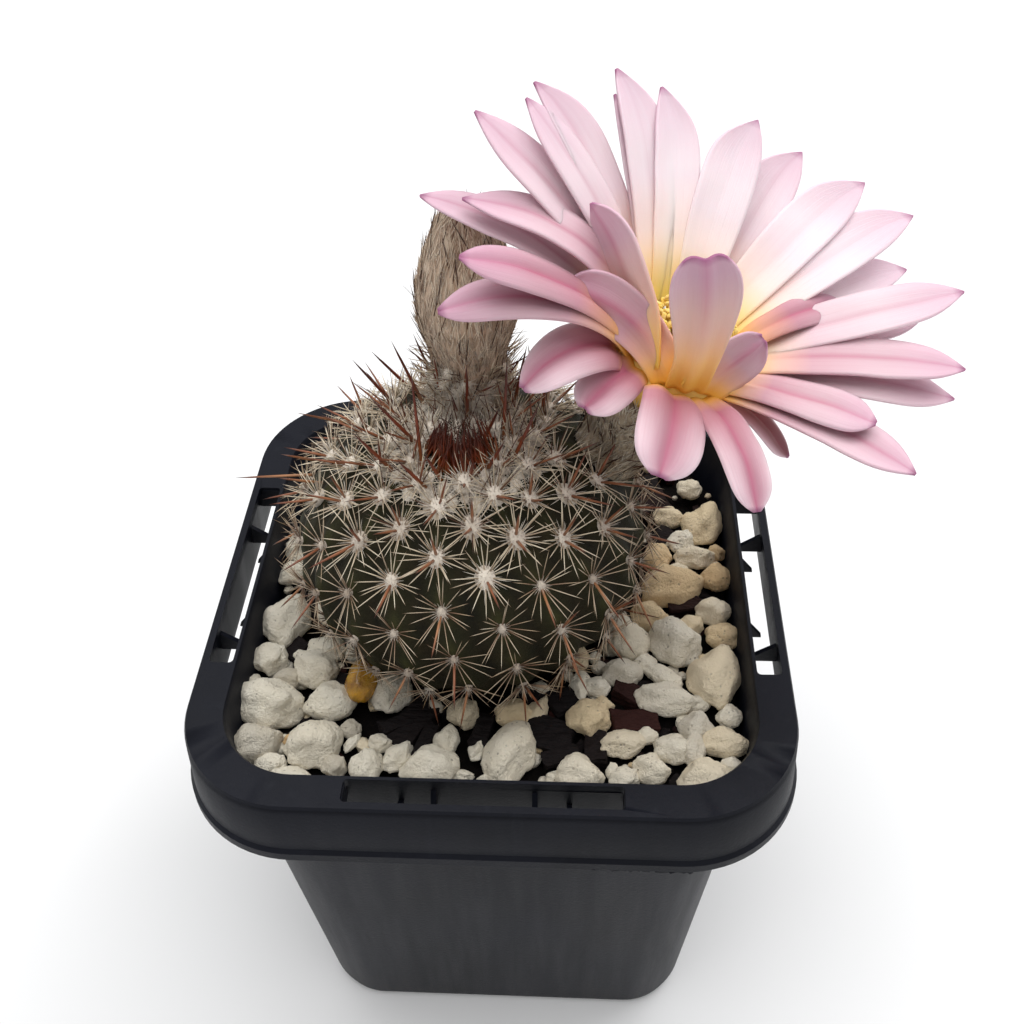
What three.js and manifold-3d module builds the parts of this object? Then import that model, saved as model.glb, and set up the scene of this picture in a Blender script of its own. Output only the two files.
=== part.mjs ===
// A round cactus in a square nursery pot, with one open flower and one woolly bud.
// Millimetres, +Z up. The origin is the middle of the pot's flat underside, and the
// pot's front is -Y. Azimuths run from the front, positive towards +X.

import * as THREE from 'three';
import { ConvexHull } from 'three/addons/math/ConvexHull.js';
import { mergeVertices } from 'three/addons/utils/BufferGeometryUtils.js';
import Module from 'manifold-3d';

const wasm = await Module();
wasm.setup();

const { sin, cos, sqrt, PI, min, max } = Math;
const { degToRad, lerp, clamp } = THREE.MathUtils;
const V = (x, y, z) => new THREE.Vector3(x, y, z);
const UP = V(0, 0, 1);
const GOLDEN_TURN = 137.5;

// Pot
const POT_HEIGHT = 65.5;
const RIM_HALF = 35;
const RIM_CORNER = 13.3;
const RIM_BAND = 3.9;
const SKIRT_BOTTOM = 56.6;
const SKIRT_HALF = 36.3;
const FOOT_HALF = 26.6;
const FOOT_CORNER = 9;
const PLASTIC = 1;
const FLOOR = 1.4;
const SLOT_LENGTH = 33;
const SLOT_WIDTH = 2.2;
const SLOT_CENTRE = 33.1;
const BRACE_PLACE = 11.5;
const TOOTH_PLACE = 6.5;
const DRAIN_RADIUS = 3.5;
const DRAIN_PLACE = 13;
const CORNER_STEPS = 6;

// What the pot holds
const GAP = 0.35;
const SOIL_TOP = 57.5;
const BED_TOP = 59.2;
const PLANT_HOLE = 14.6;
const PLANT_HOLE_DEPTH = 9;

// Globe
const GLOBE = V(-3, -1, 74);
const GLOBE_RADIUS = 21.5;
const GLOBE_RISE = 16.5;
const RIBS = 21;
const RIB_PHASE = 8 / 21;
const RIB_TWIST = 3.5;
const RIB_START = { step: 3.75, azimuth: -6.2 };
const CROWN_STEP = 1.1;
const LAST_STEP = 8.3;
const VALLEY_DEPTH = 0.7;
const WOOL_RADIUS = 0.85;
const SWIRL = 9;
const SPINE_RADIUS = 0.42;
const SPINE_ROOM = 0.8;
const SPINE_FLOOR = 63.6;
const SHORTEST_SPINE = 1.2;
const BRISTLE_SIDE = 3;

// Flower and bud
const FLOWER = V(20.4, -1.4, 102);
const FLOWER_AXIS = V(0.38, -0.18, 0.9).normalize();
const PETAL_RING = 5.7;
const PETAL_THICK = 0.6;
const CUP_DEPTH = 4;
const CUP_FLOOR = -2;
const FLOOR_RADIUS = 4.7;
const STYLE_RADIUS = 0.8;
const FILAMENTS = 17;
const FILAMENT_SIZES = { foot: 0.3, head: 0.22, high: 5.2 };
const TUBE_FOOT = { angle: 50, azimuth: 100 };
const BUD_FOOT = { angle: 17, azimuth: 180 };
const BUD_TOP = V(-2.6, 5.4, 116);

// Solids from triangles, and joining and cutting them
function solid(points, triangles) {
  const vertProperties = new Float32Array(points.flatMap((p) => [p.x, p.y, p.z]));
  const triVerts = new Uint32Array(triangles.flat());
  const mesh = new wasm.Mesh({ numProp: 3, vertProperties, triVerts });
  mesh.merge();
  return new wasm.Manifold(mesh);
}

// A geometry with its positions alone, its shared corners merged
function bare(geometry) {
  const copy = geometry.clone();
  copy.deleteAttribute('normal');
  copy.deleteAttribute('uv');
  return mergeVertices(copy, 1e-4);
}

function solidOf(geometry) {
  const merged = bare(geometry);
  const place = merged.getAttribute('position');
  const points = [];
  for (let i = 0; i < place.count; i++) {
    points.push(V(place.getX(i), place.getY(i), place.getZ(i)));
  }
  const index = Array.from(merged.index.array);
  const triangles = [];
  for (let i = 0; i < index.length; i += 3) {
    triangles.push(index.slice(i, i + 3));
  }
  return solid(points, triangles);
}

function geometryOf(body) {
  const { numProp, vertProperties, triVerts } = body.getMesh();
  const place = new Float32Array((vertProperties.length / numProp) * 3);
  for (let i = 0; i < place.length / 3; i++) {
    place.set(vertProperties.subarray(i * numProp, i * numProp + 3), i * 3);
  }
  const geometry = new THREE.BufferGeometry();
  geometry.setAttribute('position', new THREE.BufferAttribute(place, 3));
  geometry.setIndex(Array.from(triVerts));
  return geometry;
}

const joined = (solids) => wasm.Manifold.union(solids);
const SLIVER = 0.05;

function largestOf(body) {
  const pieces = body.decompose();
  return pieces.sort((a, b) => b.volume() - a.volume())[0];
}

// Closed skin over rings of equal length, the first and the last ring capped
function loft(rings) {
  const n = rings[0].length;
  const points = rings.flat();
  const triangles = [];
  for (let r = 0; r + 1 < rings.length; r++) {
    for (let k = 0; k < n; k++) {
      const a = r * n + k;
      const b = r * n + ((k + 1) % n);
      triangles.push([a, b, b + n], [a, b + n, a + n]);
    }
  }
  const caps = [rings[0], rings[rings.length - 1]];
  const starts = [0, (rings.length - 1) * n];
  caps.forEach((ring, end) => {
    const middle = ring.reduce((sum, p) => sum.add(p), V(0, 0, 0)).divideScalar(n);
    points.push(middle);
    for (let k = 0; k < n; k++) {
      const a = starts[end] + k;
      const b = starts[end] + ((k + 1) % n);
      triangles.push(end === 0 ? [b, a, points.length - 1] : [a, b, points.length - 1]);
    }
  });
  if (volumeOf(points, triangles) < 0) triangles.forEach((t) => t.reverse());
  return solid(points, triangles);
}

function volumeOf(points, triangles) {
  let sum = 0;
  for (const [a, b, c] of triangles) {
    sum += points[a].dot(points[b].clone().cross(points[c]));
  }
  return sum / 6;
}

// Anticlockwise outline of a square with round corners
function squareRing(half, corner, z) {
  const ring = [];
  for (let quarter = 0; quarter < 4; quarter++) {
    const middle = (quarter + 0.5) * PI / 2;
    const x = Math.sign(cos(middle)) * (half - corner);
    const y = Math.sign(sin(middle)) * (half - corner);
    for (let k = 0; k <= CORNER_STEPS; k++) {
      const angle = (quarter + k / CORNER_STEPS) * PI / 2;
      ring.push(V(x + corner * cos(angle), y + corner * sin(angle), z));
    }
  }
  return ring;
}

function box(width, depth, height, x, y, z) {
  return solidOf(new THREE.BoxGeometry(width, depth, height).translate(x, y, z));
}

function seeded(seed) {
  let state = seed;
  return () => {
    state = (state * 1103515245 + 12345) % 2147483648;
    return state / 2147483648;
  };
}

// The pot's inner wall: half width and corner radius at a height
const INNER_FOOT = { half: FOOT_HALF - PLASTIC, corner: FOOT_CORNER - 1.4, z: FLOOR };
const INNER_RIM = { half: RIM_HALF - RIM_BAND, corner: 9.5, z: POT_HEIGHT - 0.6 };

function innerWall(z, inset) {
  const rise = (z - INNER_FOOT.z) / (INNER_RIM.z - INNER_FOOT.z);
  const half = lerp(INNER_FOOT.half, INNER_RIM.half, rise) - inset;
  const corner = lerp(INNER_FOOT.corner, INNER_RIM.corner, rise) - inset;
  return squareRing(half, corner, z);
}

function filling(bottom, top, inset) {
  return loft([innerWall(bottom, inset), innerWall(top, inset)]);
}

function quarterTurns(makeOne) {
  return [0, 90, 180, 270].flatMap((turn) => makeOne().map((one) => one.rotate([0, 0, turn])));
}

function plate(outline, thickness, x) {
  const shape = new THREE.Shape(outline.map(([out, z]) => new THREE.Vector2(out, z)));
  const geometry = new THREE.ExtrudeGeometry(shape, { depth: thickness, bevelEnabled: false });
  geometry.rotateX(PI / 2).rotateZ(-PI / 2);
  return solidOf(geometry.translate(x - thickness / 2, 0, 0));
}

function makePot() {
  const top = POT_HEIGHT;
  const channel = top - 1.2;
  const body = loft([
    squareRing(INNER_FOOT.half, INNER_FOOT.corner, FLOOR),
    squareRing(INNER_RIM.half, INNER_RIM.corner, INNER_RIM.z),
    squareRing(INNER_RIM.half + 0.4, INNER_RIM.corner + 0.4, top),
    squareRing(RIM_HALF - 0.6, RIM_CORNER - 0.6, top),
    squareRing(RIM_HALF, RIM_CORNER, top - 0.6),
    squareRing(SKIRT_HALF, RIM_CORNER + 1, SKIRT_BOTTOM),
    squareRing(SKIRT_HALF - PLASTIC, RIM_CORNER, SKIRT_BOTTOM),
    squareRing(RIM_HALF - 0.8, RIM_CORNER - 1, channel),
    squareRing(INNER_RIM.half + 0.9, INNER_RIM.corner + 0.9, channel),
    squareRing(FOOT_HALF, FOOT_CORNER, 2.5),
    squareRing(FOOT_HALF - 0.6, FOOT_CORNER - 0.8, 0.6),
    squareRing(FOOT_HALF - 1.5, FOOT_CORNER - 1.6, 0),
  ]);
  const slots = quarterTurns(() => [box(SLOT_LENGTH, SLOT_WIDTH, 4, 0, SLOT_CENTRE, top)]);
  const drains = [];
  for (const x of [-DRAIN_PLACE, DRAIN_PLACE]) {
    for (const y of [-DRAIN_PLACE, DRAIN_PLACE]) {
      const hole = new THREE.CylinderGeometry(DRAIN_RADIUS, DRAIN_RADIUS, 8, 12);
      drains.push(solidOf(hole.rotateX(PI / 2).translate(x, y, 0)));
    }
  }
  const wall = INNER_RIM.half + 0.4;
  const braceOutline = [[wall, 58.4], [RIM_HALF + 0.2, 58.4], [RIM_HALF - 0.4, 63.2], [wall, 63.2]];
  const toothOutline = [[wall - 0.3, 58.6], [wall + 1.9, 58.6], [wall, 63.4]];
  const stays = quarterTurns(() => [
    plate(braceOutline, 0.9, -BRACE_PLACE),
    plate(braceOutline, 0.9, BRACE_PLACE),
    plate(toothOutline, 0.9, -TOOTH_PLACE),
    plate(toothOutline, 0.9, TOOTH_PLACE),
  ]);
  return joined([body, ...stays]).subtract(joined([...slots, ...drains]));
}

// Meridian of the globe: height and radius at an angle from the crown, with the
// narrow neck that stands in the soil
const NECK = [
  { angle: 132, radius: 15.9, z: 63 },
  { angle: 142, radius: 13.6, z: 60.6 },
  { angle: 152, radius: 13, z: 57 },
  { angle: 164, radius: 12.4, z: SOIL_TOP - PLANT_HOLE_DEPTH + 2 },
  { angle: 172, radius: 11, z: SOIL_TOP - PLANT_HOLE_DEPTH + GAP },
  { angle: 180, radius: 0, z: SOIL_TOP - PLANT_HOLE_DEPTH + GAP },
];

function meridian(angle) {
  if (angle <= NECK[0].angle) {
    const turn = degToRad(angle);
    return { radius: GLOBE_RADIUS * sin(turn), z: GLOBE.z + GLOBE_RISE * cos(turn) };
  }
  const next = NECK.findIndex((stop) => stop.angle >= angle);
  const [from, to] = [NECK[max(next - 1, 0)], NECK[max(next, 1)]];
  const part = clamp((angle - from.angle) / (to.angle - from.angle), 0, 1);
  return { radius: lerp(from.radius, to.radius, part), z: lerp(from.z, to.z, part) };
}

function globePoint(angle, azimuth, lift = 0) {
  const { radius, z } = meridian(angle);
  const out = V(sin(degToRad(azimuth)), -cos(degToRad(azimuth)), 0);
  const point = V(GLOBE.x, GLOBE.y, z).addScaledVector(out, radius);
  return point.addScaledVector(globeNormal(angle, azimuth), lift);
}

function globeNormal(angle, azimuth) {
  const turn = degToRad(min(angle, NECK[0].angle));
  const out = V(sin(degToRad(azimuth)), -cos(degToRad(azimuth)), 0);
  return out.multiplyScalar(sin(turn) / GLOBE_RADIUS).add(V(0, 0, cos(turn) / GLOBE_RISE)).normalize();
}

// Angle from the crown at a distance along the skin
function angleAt(distance) {
  let angle = 0;
  let walked = 0;
  while (walked < distance) {
    const turn = degToRad(angle);
    walked += degToRad(0.25) * sqrt((GLOBE_RADIUS * cos(turn)) ** 2 + (GLOBE_RISE * sin(turn)) ** 2);
    angle += 0.25;
  }
  return angle;
}

// Distance from the crown to the nth areole of a rib: close in the crown, then even
function stepDistance(step) {
  return 6.2 * (sqrt(step * step + 4.84) - 2.2);
}

function ribSpot(rib, step, lift) {
  const angle = angleAt(stepDistance(step));
  const azimuth = RIB_START.azimuth + (rib * 360) / RIBS + RIB_TWIST * step;
  return { angle, azimuth, lift, step };
}

const sphereDirection = ({ angle, azimuth }) => {
  const [a, b] = [degToRad(angle), degToRad(azimuth)];
  return V(sin(a) * sin(b), -sin(a) * cos(b), cos(a));
};

// A closed skin over spots that are spread on a sphere. A spot with spines opens into
// a small ring round a pad of wool, and each side of the ring can carry a spine.
function spinySkin(spots, place, normalAt, spineOf) {
  const directions = spots.map(sphereDirection);
  const indexOf = new Map(directions.map((d, i) => [d, i]));
  const hull = new ConvexHull().setFromPoints(directions);
  const faces = hull.faces.map((face) => {
    const a = face.edge;
    return [a.head(), a.next.head(), a.next.next.head()].map((v) => indexOf.get(v.point));
  });
  const follower = spots.map(() => new Map());
  for (const [a, b, c] of faces) {
    follower[a].set(b, c);
    follower[b].set(c, a);
    follower[c].set(a, b);
  }
  const centres = spots.map((spot) => place(spot, spot.lift));
  const points = [];
  const triangles = [];
  const corner = spots.map(() => new Map());
  spots.forEach((spot, i) => {
    if (!spot.spiny) {
      points.push(centres[i]);
      follower[i].forEach((_, j) => corner[i].set(j, points.length - 1));
      return;
    }
    follower[i].forEach((_, j) => {
      const span = centres[j].clone().sub(centres[i]);
      const reach = min(spot.pad, span.length() * 0.34);
      points.push(centres[i].clone().addScaledVector(span.normalize(), reach));
      corner[i].set(j, points.length - 1);
    });
  });
  for (const [a, b, c] of faces) {
    const loop = [[a, b], [b, a], [b, c], [c, b], [c, a], [a, c]].map(([i, j]) => corner[i].get(j));
    const outline = loop.filter((p, k) => p !== loop[(k + 5) % 6]);
    for (let k = 1; k + 1 < outline.length; k++) {
      triangles.push([outline[0], outline[k], outline[k + 1]]);
    }
  }
  spots.forEach((spot, i) => {
    if (!spot.spiny) return;
    const normal = normalAt(spot);
    points.push(centres[i].clone().addScaledVector(normal, spot.pad * 0.8));
    const top = points.length - 1;
    const sides = [];
    follower[i].forEach((next, j) => {
      const [from, to] = [corner[i].get(j), corner[i].get(next)];
      const along = points[from].clone().add(points[to]).sub(centres[i]).sub(centres[i]);
      along.addScaledVector(normal, -along.dot(normal)).normalize();
      sides.push({ from, to, along });
    });
    sides.sort((one, other) => one.along.z - other.along.z);
    sides.forEach(({ from, to, along }, rank) => {
      const root = points[from].clone().add(points[to]).add(points[top]).divideScalar(3);
      const tip = spineOf(spot, rank, root, along, normal);
      if (!tip) {
        triangles.push([from, to, top]);
        return;
      }
      points.push(tip);
      const end = points.length - 1;
      triangles.push([from, to, end], [to, top, end], [top, from, end]);
    });
  });
  return solid(points, triangles);
}

// Centre lines of the bud and of the flower's tube, square to the skin at the foot
const budFoot = globePoint(BUD_FOOT.angle, BUD_FOOT.azimuth, GAP + 0.2);
const budNormal = globeNormal(BUD_FOOT.angle, BUD_FOOT.azimuth);
const budLine = new THREE.CubicBezierCurve3(
  budFoot,
  budFoot.clone().addScaledVector(budNormal, 8),
  BUD_TOP.clone().add(V(0, 0, -9)),
  BUD_TOP,
);
const tubeFoot = globePoint(TUBE_FOOT.angle, TUBE_FOOT.azimuth, GAP + 0.2);
const tubeNormal = globeNormal(TUBE_FOOT.angle, TUBE_FOOT.azimuth);
const tubeTop = FLOWER.clone().addScaledVector(FLOWER_AXIS, -CUP_DEPTH - GAP);
const tubeLine = new THREE.CubicBezierCurve3(
  tubeFoot,
  tubeFoot.clone().addScaledVector(tubeNormal, 5),
  tubeTop.clone().addScaledVector(FLOWER_AXIS, -6),
  tubeTop,
);

// Radius along each line, as [part of the length, radius]
const BUD_PROFILE = [[0, 4.4], [0.12, 4.1], [0.3, 4.2], [0.42, 5], [0.54, 5.6], [0.66, 5.5], [0.78, 4.9],
  [0.88, 3.9], [0.95, 2.6], [1, 0.9]];
const TUBE_PROFILE = [[0, 4.3], [0.2, 4.2], [0.5, 4.9], [0.75, 6], [1, 7.1]];
const BUD_WOOL = { scales: 60, bristle: 2.8, pad: 0.9, out: 0.36 };
const TUBE_WOOL = { scales: 44, bristle: 3.2, pad: 0.8, out: 0.57 };

function radiusAlong(profile, part) {
  const next = max(profile.findIndex(([stop]) => stop >= part), 1);
  const [[a, low], [b, high]] = [profile[next - 1], profile[next]];
  return lerp(low, high, clamp((part - a) / (b - a), 0, 1));
}

// Anything in a spine's way: the bed of stones, the bud and the tube
function blocked(point) {
  if (point.z < SPINE_FLOOR) return true;
  for (const [line, profile] of [[budLine, BUD_PROFILE], [tubeLine, TUBE_PROFILE]]) {
    for (let part = 0; part <= 1; part += 0.05) {
      const room = radiusAlong(profile, part) + SPINE_ROOM;
      if (line.getPoint(part).distanceTo(point) < room) return true;
    }
  }
  return false;
}

// Whether a spine would touch one that grew before it on another spot
function touches(root, tip, grown, spot) {
  const near = V(0, 0, 0);
  return grown.some((other) => {
    if (other.spot === spot) return false;
    const span = root.distanceTo(tip) + other.line.distance();
    if (root.distanceTo(other.line.start) > span) return false;
    for (let part = 0; part <= 1; part += 0.1) {
      const point = root.clone().lerp(tip, part);
      const along = other.line.closestPointToPointParameter(point, true);
      const room = SPINE_RADIUS * (2 - part - along) + 0.2;
      if (other.line.at(along, near).distanceTo(point) < room) return true;
    }
    return false;
  });
}

// The tip of a spine, shortened until it is clear, or null where there is no room
function grow(spot, root, direction, length, grown, isBlocked) {
  for (let reach = length; reach > SHORTEST_SPINE; reach *= 0.86) {
    const tip = root.clone().addScaledVector(direction, reach);
    if (!isBlocked(tip) && !touches(root, tip, grown, spot)) {
      grown.push({ spot, line: new THREE.Line3(root.clone(), tip) });
      return tip;
    }
  }
  return null;
}

function globeSpots() {
  const spots = [];
  const feet = [budFoot, tubeFoot];
  const footRoom = 6.4;
  for (let rib = 0; rib < RIBS; rib++) {
    const phase = (RIB_START.step + rib * RIB_PHASE) % 1;
    for (let step = CROWN_STEP - (CROWN_STEP % 1) + phase; step < LAST_STEP + 1; step++) {
      if (step < CROWN_STEP) continue;
      const spot = ribSpot(rib, step, step > 2.5 ? 0.3 : 0);
      const centre = globePoint(spot.angle, spot.azimuth);
      spot.spiny = step < LAST_STEP && feet.every((foot) => foot.distanceTo(centre) > footRoom);
      spot.pad = WOOL_RADIUS;
      if (!spot.spiny) spot.lift = 0;
      spots.push(spot);
      if (step > 3 && step < LAST_STEP) {
        spots.push(ribSpot(rib + 0.5, step + RIB_PHASE / 2 + 0.5, spot.spiny ? -VALLEY_DEPTH : 0));
      }
    }
  }
  spots.push({ angle: 0, azimuth: 0, lift: 0.2 });
  for (const { angle } of NECK.slice(1, 5)) {
    for (let k = 0; k < 16; k++) {
      spots.push({ angle, azimuth: k * 22.5, lift: 0 });
    }
  }
  spots.push({ angle: 180, azimuth: 0, lift: 0 });
  return spots;
}

// Spines lie flatter and shorter down the sides and stand up in the crown. The lowest
// one of each areole is the long central spine.
function globeSpine(grown) {
  return (spot, rank, root, along, normal) => {
    const crown = clamp((4 - spot.step) / 2.5, 0, 1);
    const low = clamp((spot.angle - 95) / 30, 0, 1);
    const central = rank === 0;
    const tilt = degToRad(central ? lerp(58, 78, crown) : lerp(22, 66, crown));
    const length = (central ? lerp(8, 7, crown) : lerp(4.4, 6, crown)) * lerp(1, 0.7, low);
    const direction = along.clone().applyAxisAngle(normal, degToRad(SWIRL)).multiplyScalar(cos(tilt));
    direction.addScaledVector(normal, sin(tilt));
    return grow(spot, root, direction, length, grown, blocked);
  };
}

function makeCactus() {
  return spinySkin(
    globeSpots(),
    (spot, lift) => globePoint(spot.angle, spot.azimuth, lift),
    (spot) => globeNormal(spot.angle, spot.azimuth),
    globeSpine([]),
  );
}

// A woolly stalk along a line, with scales on a spiral, each with one bristle that
// stands off the stalk by its share "out"
function woollyStalk(line, profile, { scales, bristle, pad, out }) {
  const cap = 0.06;
  const partOf = (angle) => clamp((1 - angle / 180 - cap) / (1 - 2 * cap), 0, 1);
  const frame = (part) => {
    const along = line.getTangent(part);
    const across = V(1, 0, 0).addScaledVector(along, -along.x).normalize();
    return { along, across, deep: along.clone().cross(across) };
  };
  const sideways = ({ angle, azimuth }) => {
    const { across, deep } = frame(partOf(angle));
    const turn = degToRad(azimuth - 90);
    return across.multiplyScalar(cos(turn)).addScaledVector(deep, sin(turn));
  };
  const place = (spot, lift) => {
    const part = partOf(spot.angle);
    const flat = spot.angle < 5 || spot.angle > 175;
    const radius = flat ? 0 : radiusAlong(profile, part) + lift;
    return line.getPoint(part).addScaledVector(sideways(spot), radius);
  };
  const spots = [{ angle: 0, azimuth: 0, lift: 0 }, { angle: 180, azimuth: 0, lift: 0 }];
  for (const angle of [180 * (1 - cap) - 1, 180 * cap + 1]) {
    for (let k = 0; k < 12; k++) {
      spots.push({ angle, azimuth: k * 30, lift: 0 });
    }
  }
  for (let k = 0; k < scales; k++) {
    const angle = lerp(24, 158, (k + 0.5) / scales);
    spots.push({ angle, azimuth: k * GOLDEN_TURN, lift: 0.2, spiny: true, pad });
  }
  const grown = [];
  const spine = (spot, rank, root, along, normal) => {
    const { along: up } = frame(partOf(spot.angle));
    const direction = normal.clone().multiplyScalar(out).addScaledVector(up, 1 - out).normalize();
    if (rank !== BRISTLE_SIDE) return null;
    return grow(spot, root, direction, bristle, grown, () => false);
  };
  return spinySkin(spots, place, sideways, spine);
}

// Petals: where each grows on the ring (0 is +X, 90 the back), how far it leans from
// the flower's axis at its root and at its tip, how far it swings sideways, its length,
// its width, and its layer from the inside out
const PETALS = [
  [178, 48, 98, 3, 28, 6.5, 1], [173, 45, 98, 2, 26, 6, 0], [194, 50, 90, 3, 26, 5.5, 0],
  [207, 55, 92, 0, 28, 6, 1], [158, 48, 84, 0, 27, 6.5, 0], [149, 42, 76, 0, 25, 6, 0],
  [146, 42, 72, 0, 26, 6.5, 1], [124, 44, 68, 0, 22.5, 6, 1], [123, 42, 60, 0, 24.5, 6.5, 0],
  [111, 42, 58, 0, 22.5, 6.5, 0], [86, 60, 98, 0, 17, 5.5, 2], [84, 42, 56, 0, 22, 6, 0],
  [69, 46, 64, 0, 21.5, 6.5, 1], [52, 44, 60, 0, 23.5, 6.3, 0], [38, 46, 60, 0, 24.5, 6.3, 0],
  [26, 52, 73, 0, 22, 5.5, 2], [15, 48, 66, 0, 26, 6, 0], [12, 56, 78, 0, 22, 6, 2],
  [355, 48, 80, -2, 24.5, 6, 0], [350, 56, 88, 0, 23.5, 6.5, 1], [326, 58, 92, 0, 22, 6.5, 1],
  [330, 54, 86, 0, 17, 6.5, 0], [326, 80, 126, 0, 12, 4.5, 2], [293, 60, 128, 0, 15.5, 7, 1],
  [260, 56, 128, 0, 14, 7.5, 1], [234, 70, 114, 0, 9.5, 7, 2], [220, 60, 108, 0, 18.5, 8, 1],
  [222, 6, 10, -80, 17, 6, 0], [236, 8, 24, -106, 14.5, 6.5, 0], [270, 8, -8, -31, 18.5, 6.5, 0],
  [286, -6, 0, 52, 9.5, 7, 0], [338, 26, 30, 50, 14, 5.5, 0],
];
const PETAL_STATIONS = [
  { part: -0.02, wide: 0.26 }, { part: 0.24, wide: 0.58 }, { part: 0.52, wide: 0.97 },
  { part: 0.78, wide: 0.86 }, { part: 0.93, wide: 0.44 }, { part: 1, wide: 0.08 },
];
const PETAL_FOLD = 0.22;
const LAYER_OUT = 0.3;
const LAYER_DOWN = 0.8;

const flowerAcross = V(1, 0, 0).addScaledVector(FLOWER_AXIS, -FLOWER_AXIS.x).normalize();
const flowerDeep = FLOWER_AXIS.clone().cross(flowerAcross);

function flowerPoint(radius, azimuth, height) {
  const turn = degToRad(azimuth);
  return FLOWER.clone()
    .addScaledVector(flowerAcross, radius * cos(turn))
    .addScaledVector(flowerDeep, radius * sin(turn))
    .addScaledVector(FLOWER_AXIS, height);
}

function petal([azimuth, leanStart, leanEnd, swing, length, width, layer]) {
  const out = flowerPoint(1, azimuth, 0).sub(FLOWER);
  const side = FLOWER_AXIS.clone().cross(out);
  const heading = (part) => {
    const lean = degToRad(lerp(leanStart, leanEnd, max(part, 0)));
    const turn = degToRad(swing * (0.4 + 0.6 * max(part, 0)));
    const forward = FLOWER_AXIS.clone().multiplyScalar(cos(lean)).addScaledVector(out, sin(lean));
    const along = forward.clone().multiplyScalar(cos(turn)).addScaledVector(side, sin(turn));
    const across = side.clone().multiplyScalar(cos(turn)).addScaledVector(forward, -sin(turn));
    return { along, across };
  };
  const walk = (part) => {
    const steps = 24;
    const point = flowerPoint(PETAL_RING + LAYER_OUT * layer, azimuth, -LAYER_DOWN * layer);
    for (let k = 0; k < steps; k++) {
      const here = (part * (k + 0.5)) / steps;
      point.addScaledVector(heading(here).along, (part * length) / steps);
    }
    return point;
  };
  const rings = PETAL_STATIONS.map(({ part, wide }) => {
    const { along, across } = heading(part);
    const upward = along.clone().cross(across).negate();
    const centre = walk(part);
    const half = (width / 2) * wide;
    const fold = PETAL_FOLD * half;
    const edge = PETAL_THICK / 2;
    const corners = [[-half, fold + edge], [0, edge], [half, fold + edge], [half, fold - edge], [0, -edge],
      [-half, fold - edge]];
    return corners.map(([x, z]) => centre.clone().addScaledVector(across, x).addScaledVector(upward, z));
  });
  return loft(rings);
}

function turnedRing(radius, height, count) {
  return Array.from({ length: count }, (_, k) => flowerPoint(radius, (k * 360) / count, height));
}

function makePetals() {
  const cup = loft([
    turnedRing(6.9, -CUP_DEPTH, 18),
    turnedRing(7, -1.4, 18),
    turnedRing(6.2, 0.2, 18),
    turnedRing(5.1, 0.2, 18),
    turnedRing(FLOOR_RADIUS, CUP_FLOOR, 18),
  ]);
  return largestOf(joined([cup, ...PETALS.map(petal)])).simplify(SLIVER);
}

const stamenFloor = CUP_FLOOR + GAP;

function makeStamens() {
  const disc = FLOOR_RADIUS - 0.5;
  const parts = [loft([turnedRing(disc, stamenFloor, 12), turnedRing(disc, stamenFloor + 0.8, 12)])];
  for (let k = 0; k < FILAMENTS; k++) {
    const spread = sqrt((k + 3) / (FILAMENTS + 3));
    const azimuth = k * GOLDEN_TURN;
    const foot = flowerPoint((disc - 0.5) * spread, azimuth, stamenFloor + 0.4);
    const top = FILAMENT_SIZES.high + 1.4 * (1 - spread);
    const head = flowerPoint(FLOOR_RADIUS * spread, azimuth + 14, top);
    const aim = new THREE.Quaternion().setFromUnitVectors(UP, head.clone().sub(foot).normalize());
    parts.push(rod(foot, head, FILAMENT_SIZES.foot, FILAMENT_SIZES.head, 3));
    const anther = new THREE.OctahedronGeometry(0.6);
    anther.scale(0.8, 0.8, 1.3).applyQuaternion(aim).translate(head.x, head.y, head.z);
    parts.push(solidOf(anther));
  }
  const room = STYLE_RADIUS + GAP;
  const styleHole = loft([turnedRing(room, stamenFloor - 1, 8), turnedRing(room, stamenFloor + 2, 8)]);
  return largestOf(joined(parts).subtract(styleHole));
}

// A tapered rod from one point to another
function rod(from, to, fromRadius, toRadius, sides) {
  const stick = new THREE.CylinderGeometry(toRadius, fromRadius, from.distanceTo(to), sides);
  stick.rotateX(PI / 2);
  stick.applyQuaternion(new THREE.Quaternion().setFromUnitVectors(UP, to.clone().sub(from).normalize()));
  const middle = from.clone().lerp(to, 0.5);
  return solidOf(stick.translate(middle.x, middle.y, middle.z));
}

const STYLE_TOP = 7.8;
const LOBES = 8;

function makeStyle() {
  const stalk = loft([
    turnedRing(STYLE_RADIUS, stamenFloor, 8),
    turnedRing(STYLE_RADIUS - 0.1, STYLE_TOP - 0.8, 8),
    turnedRing(STYLE_RADIUS + 0.1, STYLE_TOP, 8),
  ]);
  const lobes = Array.from({ length: LOBES }, (_, k) => {
    const azimuth = (k * 360) / LOBES;
    const root = flowerPoint(0.2, azimuth, STYLE_TOP - 0.6);
    return rod(root, flowerPoint(2.1, azimuth, STYLE_TOP + 1.4), 0.36, 0.12, 4);
  });
  return joined([stalk, ...lobes]);
}

// Dark bark in the soil that shows between the stones: x, y, length, width, turn
const BARK = [
  [-9, -18.6, 8, 3.4, 60], [-4.6, -15.8, 4, 3, 20], [7, -20.5, 4, 5.5, 75], [9.2, -15.4, 5, 3, 30],
  [17, -18.2, 5.5, 3.4, 10], [12.6, -22.2, 2.4, 4, 0], [20.5, 19.5, 5, 4, 20], [-23, 12, 6, 4, 40],
  [-24, -1, 3, 4, 10],
];

function barkChip([x, y, length, width, turn], grow) {
  const high = 3.2;
  const chip = new THREE.BoxGeometry(length + grow, width + grow, high + grow);
  chip.rotateZ(degToRad(turn)).translate(x, y, SOIL_TOP + 0.9);
  return solidOf(chip);
}

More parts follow.
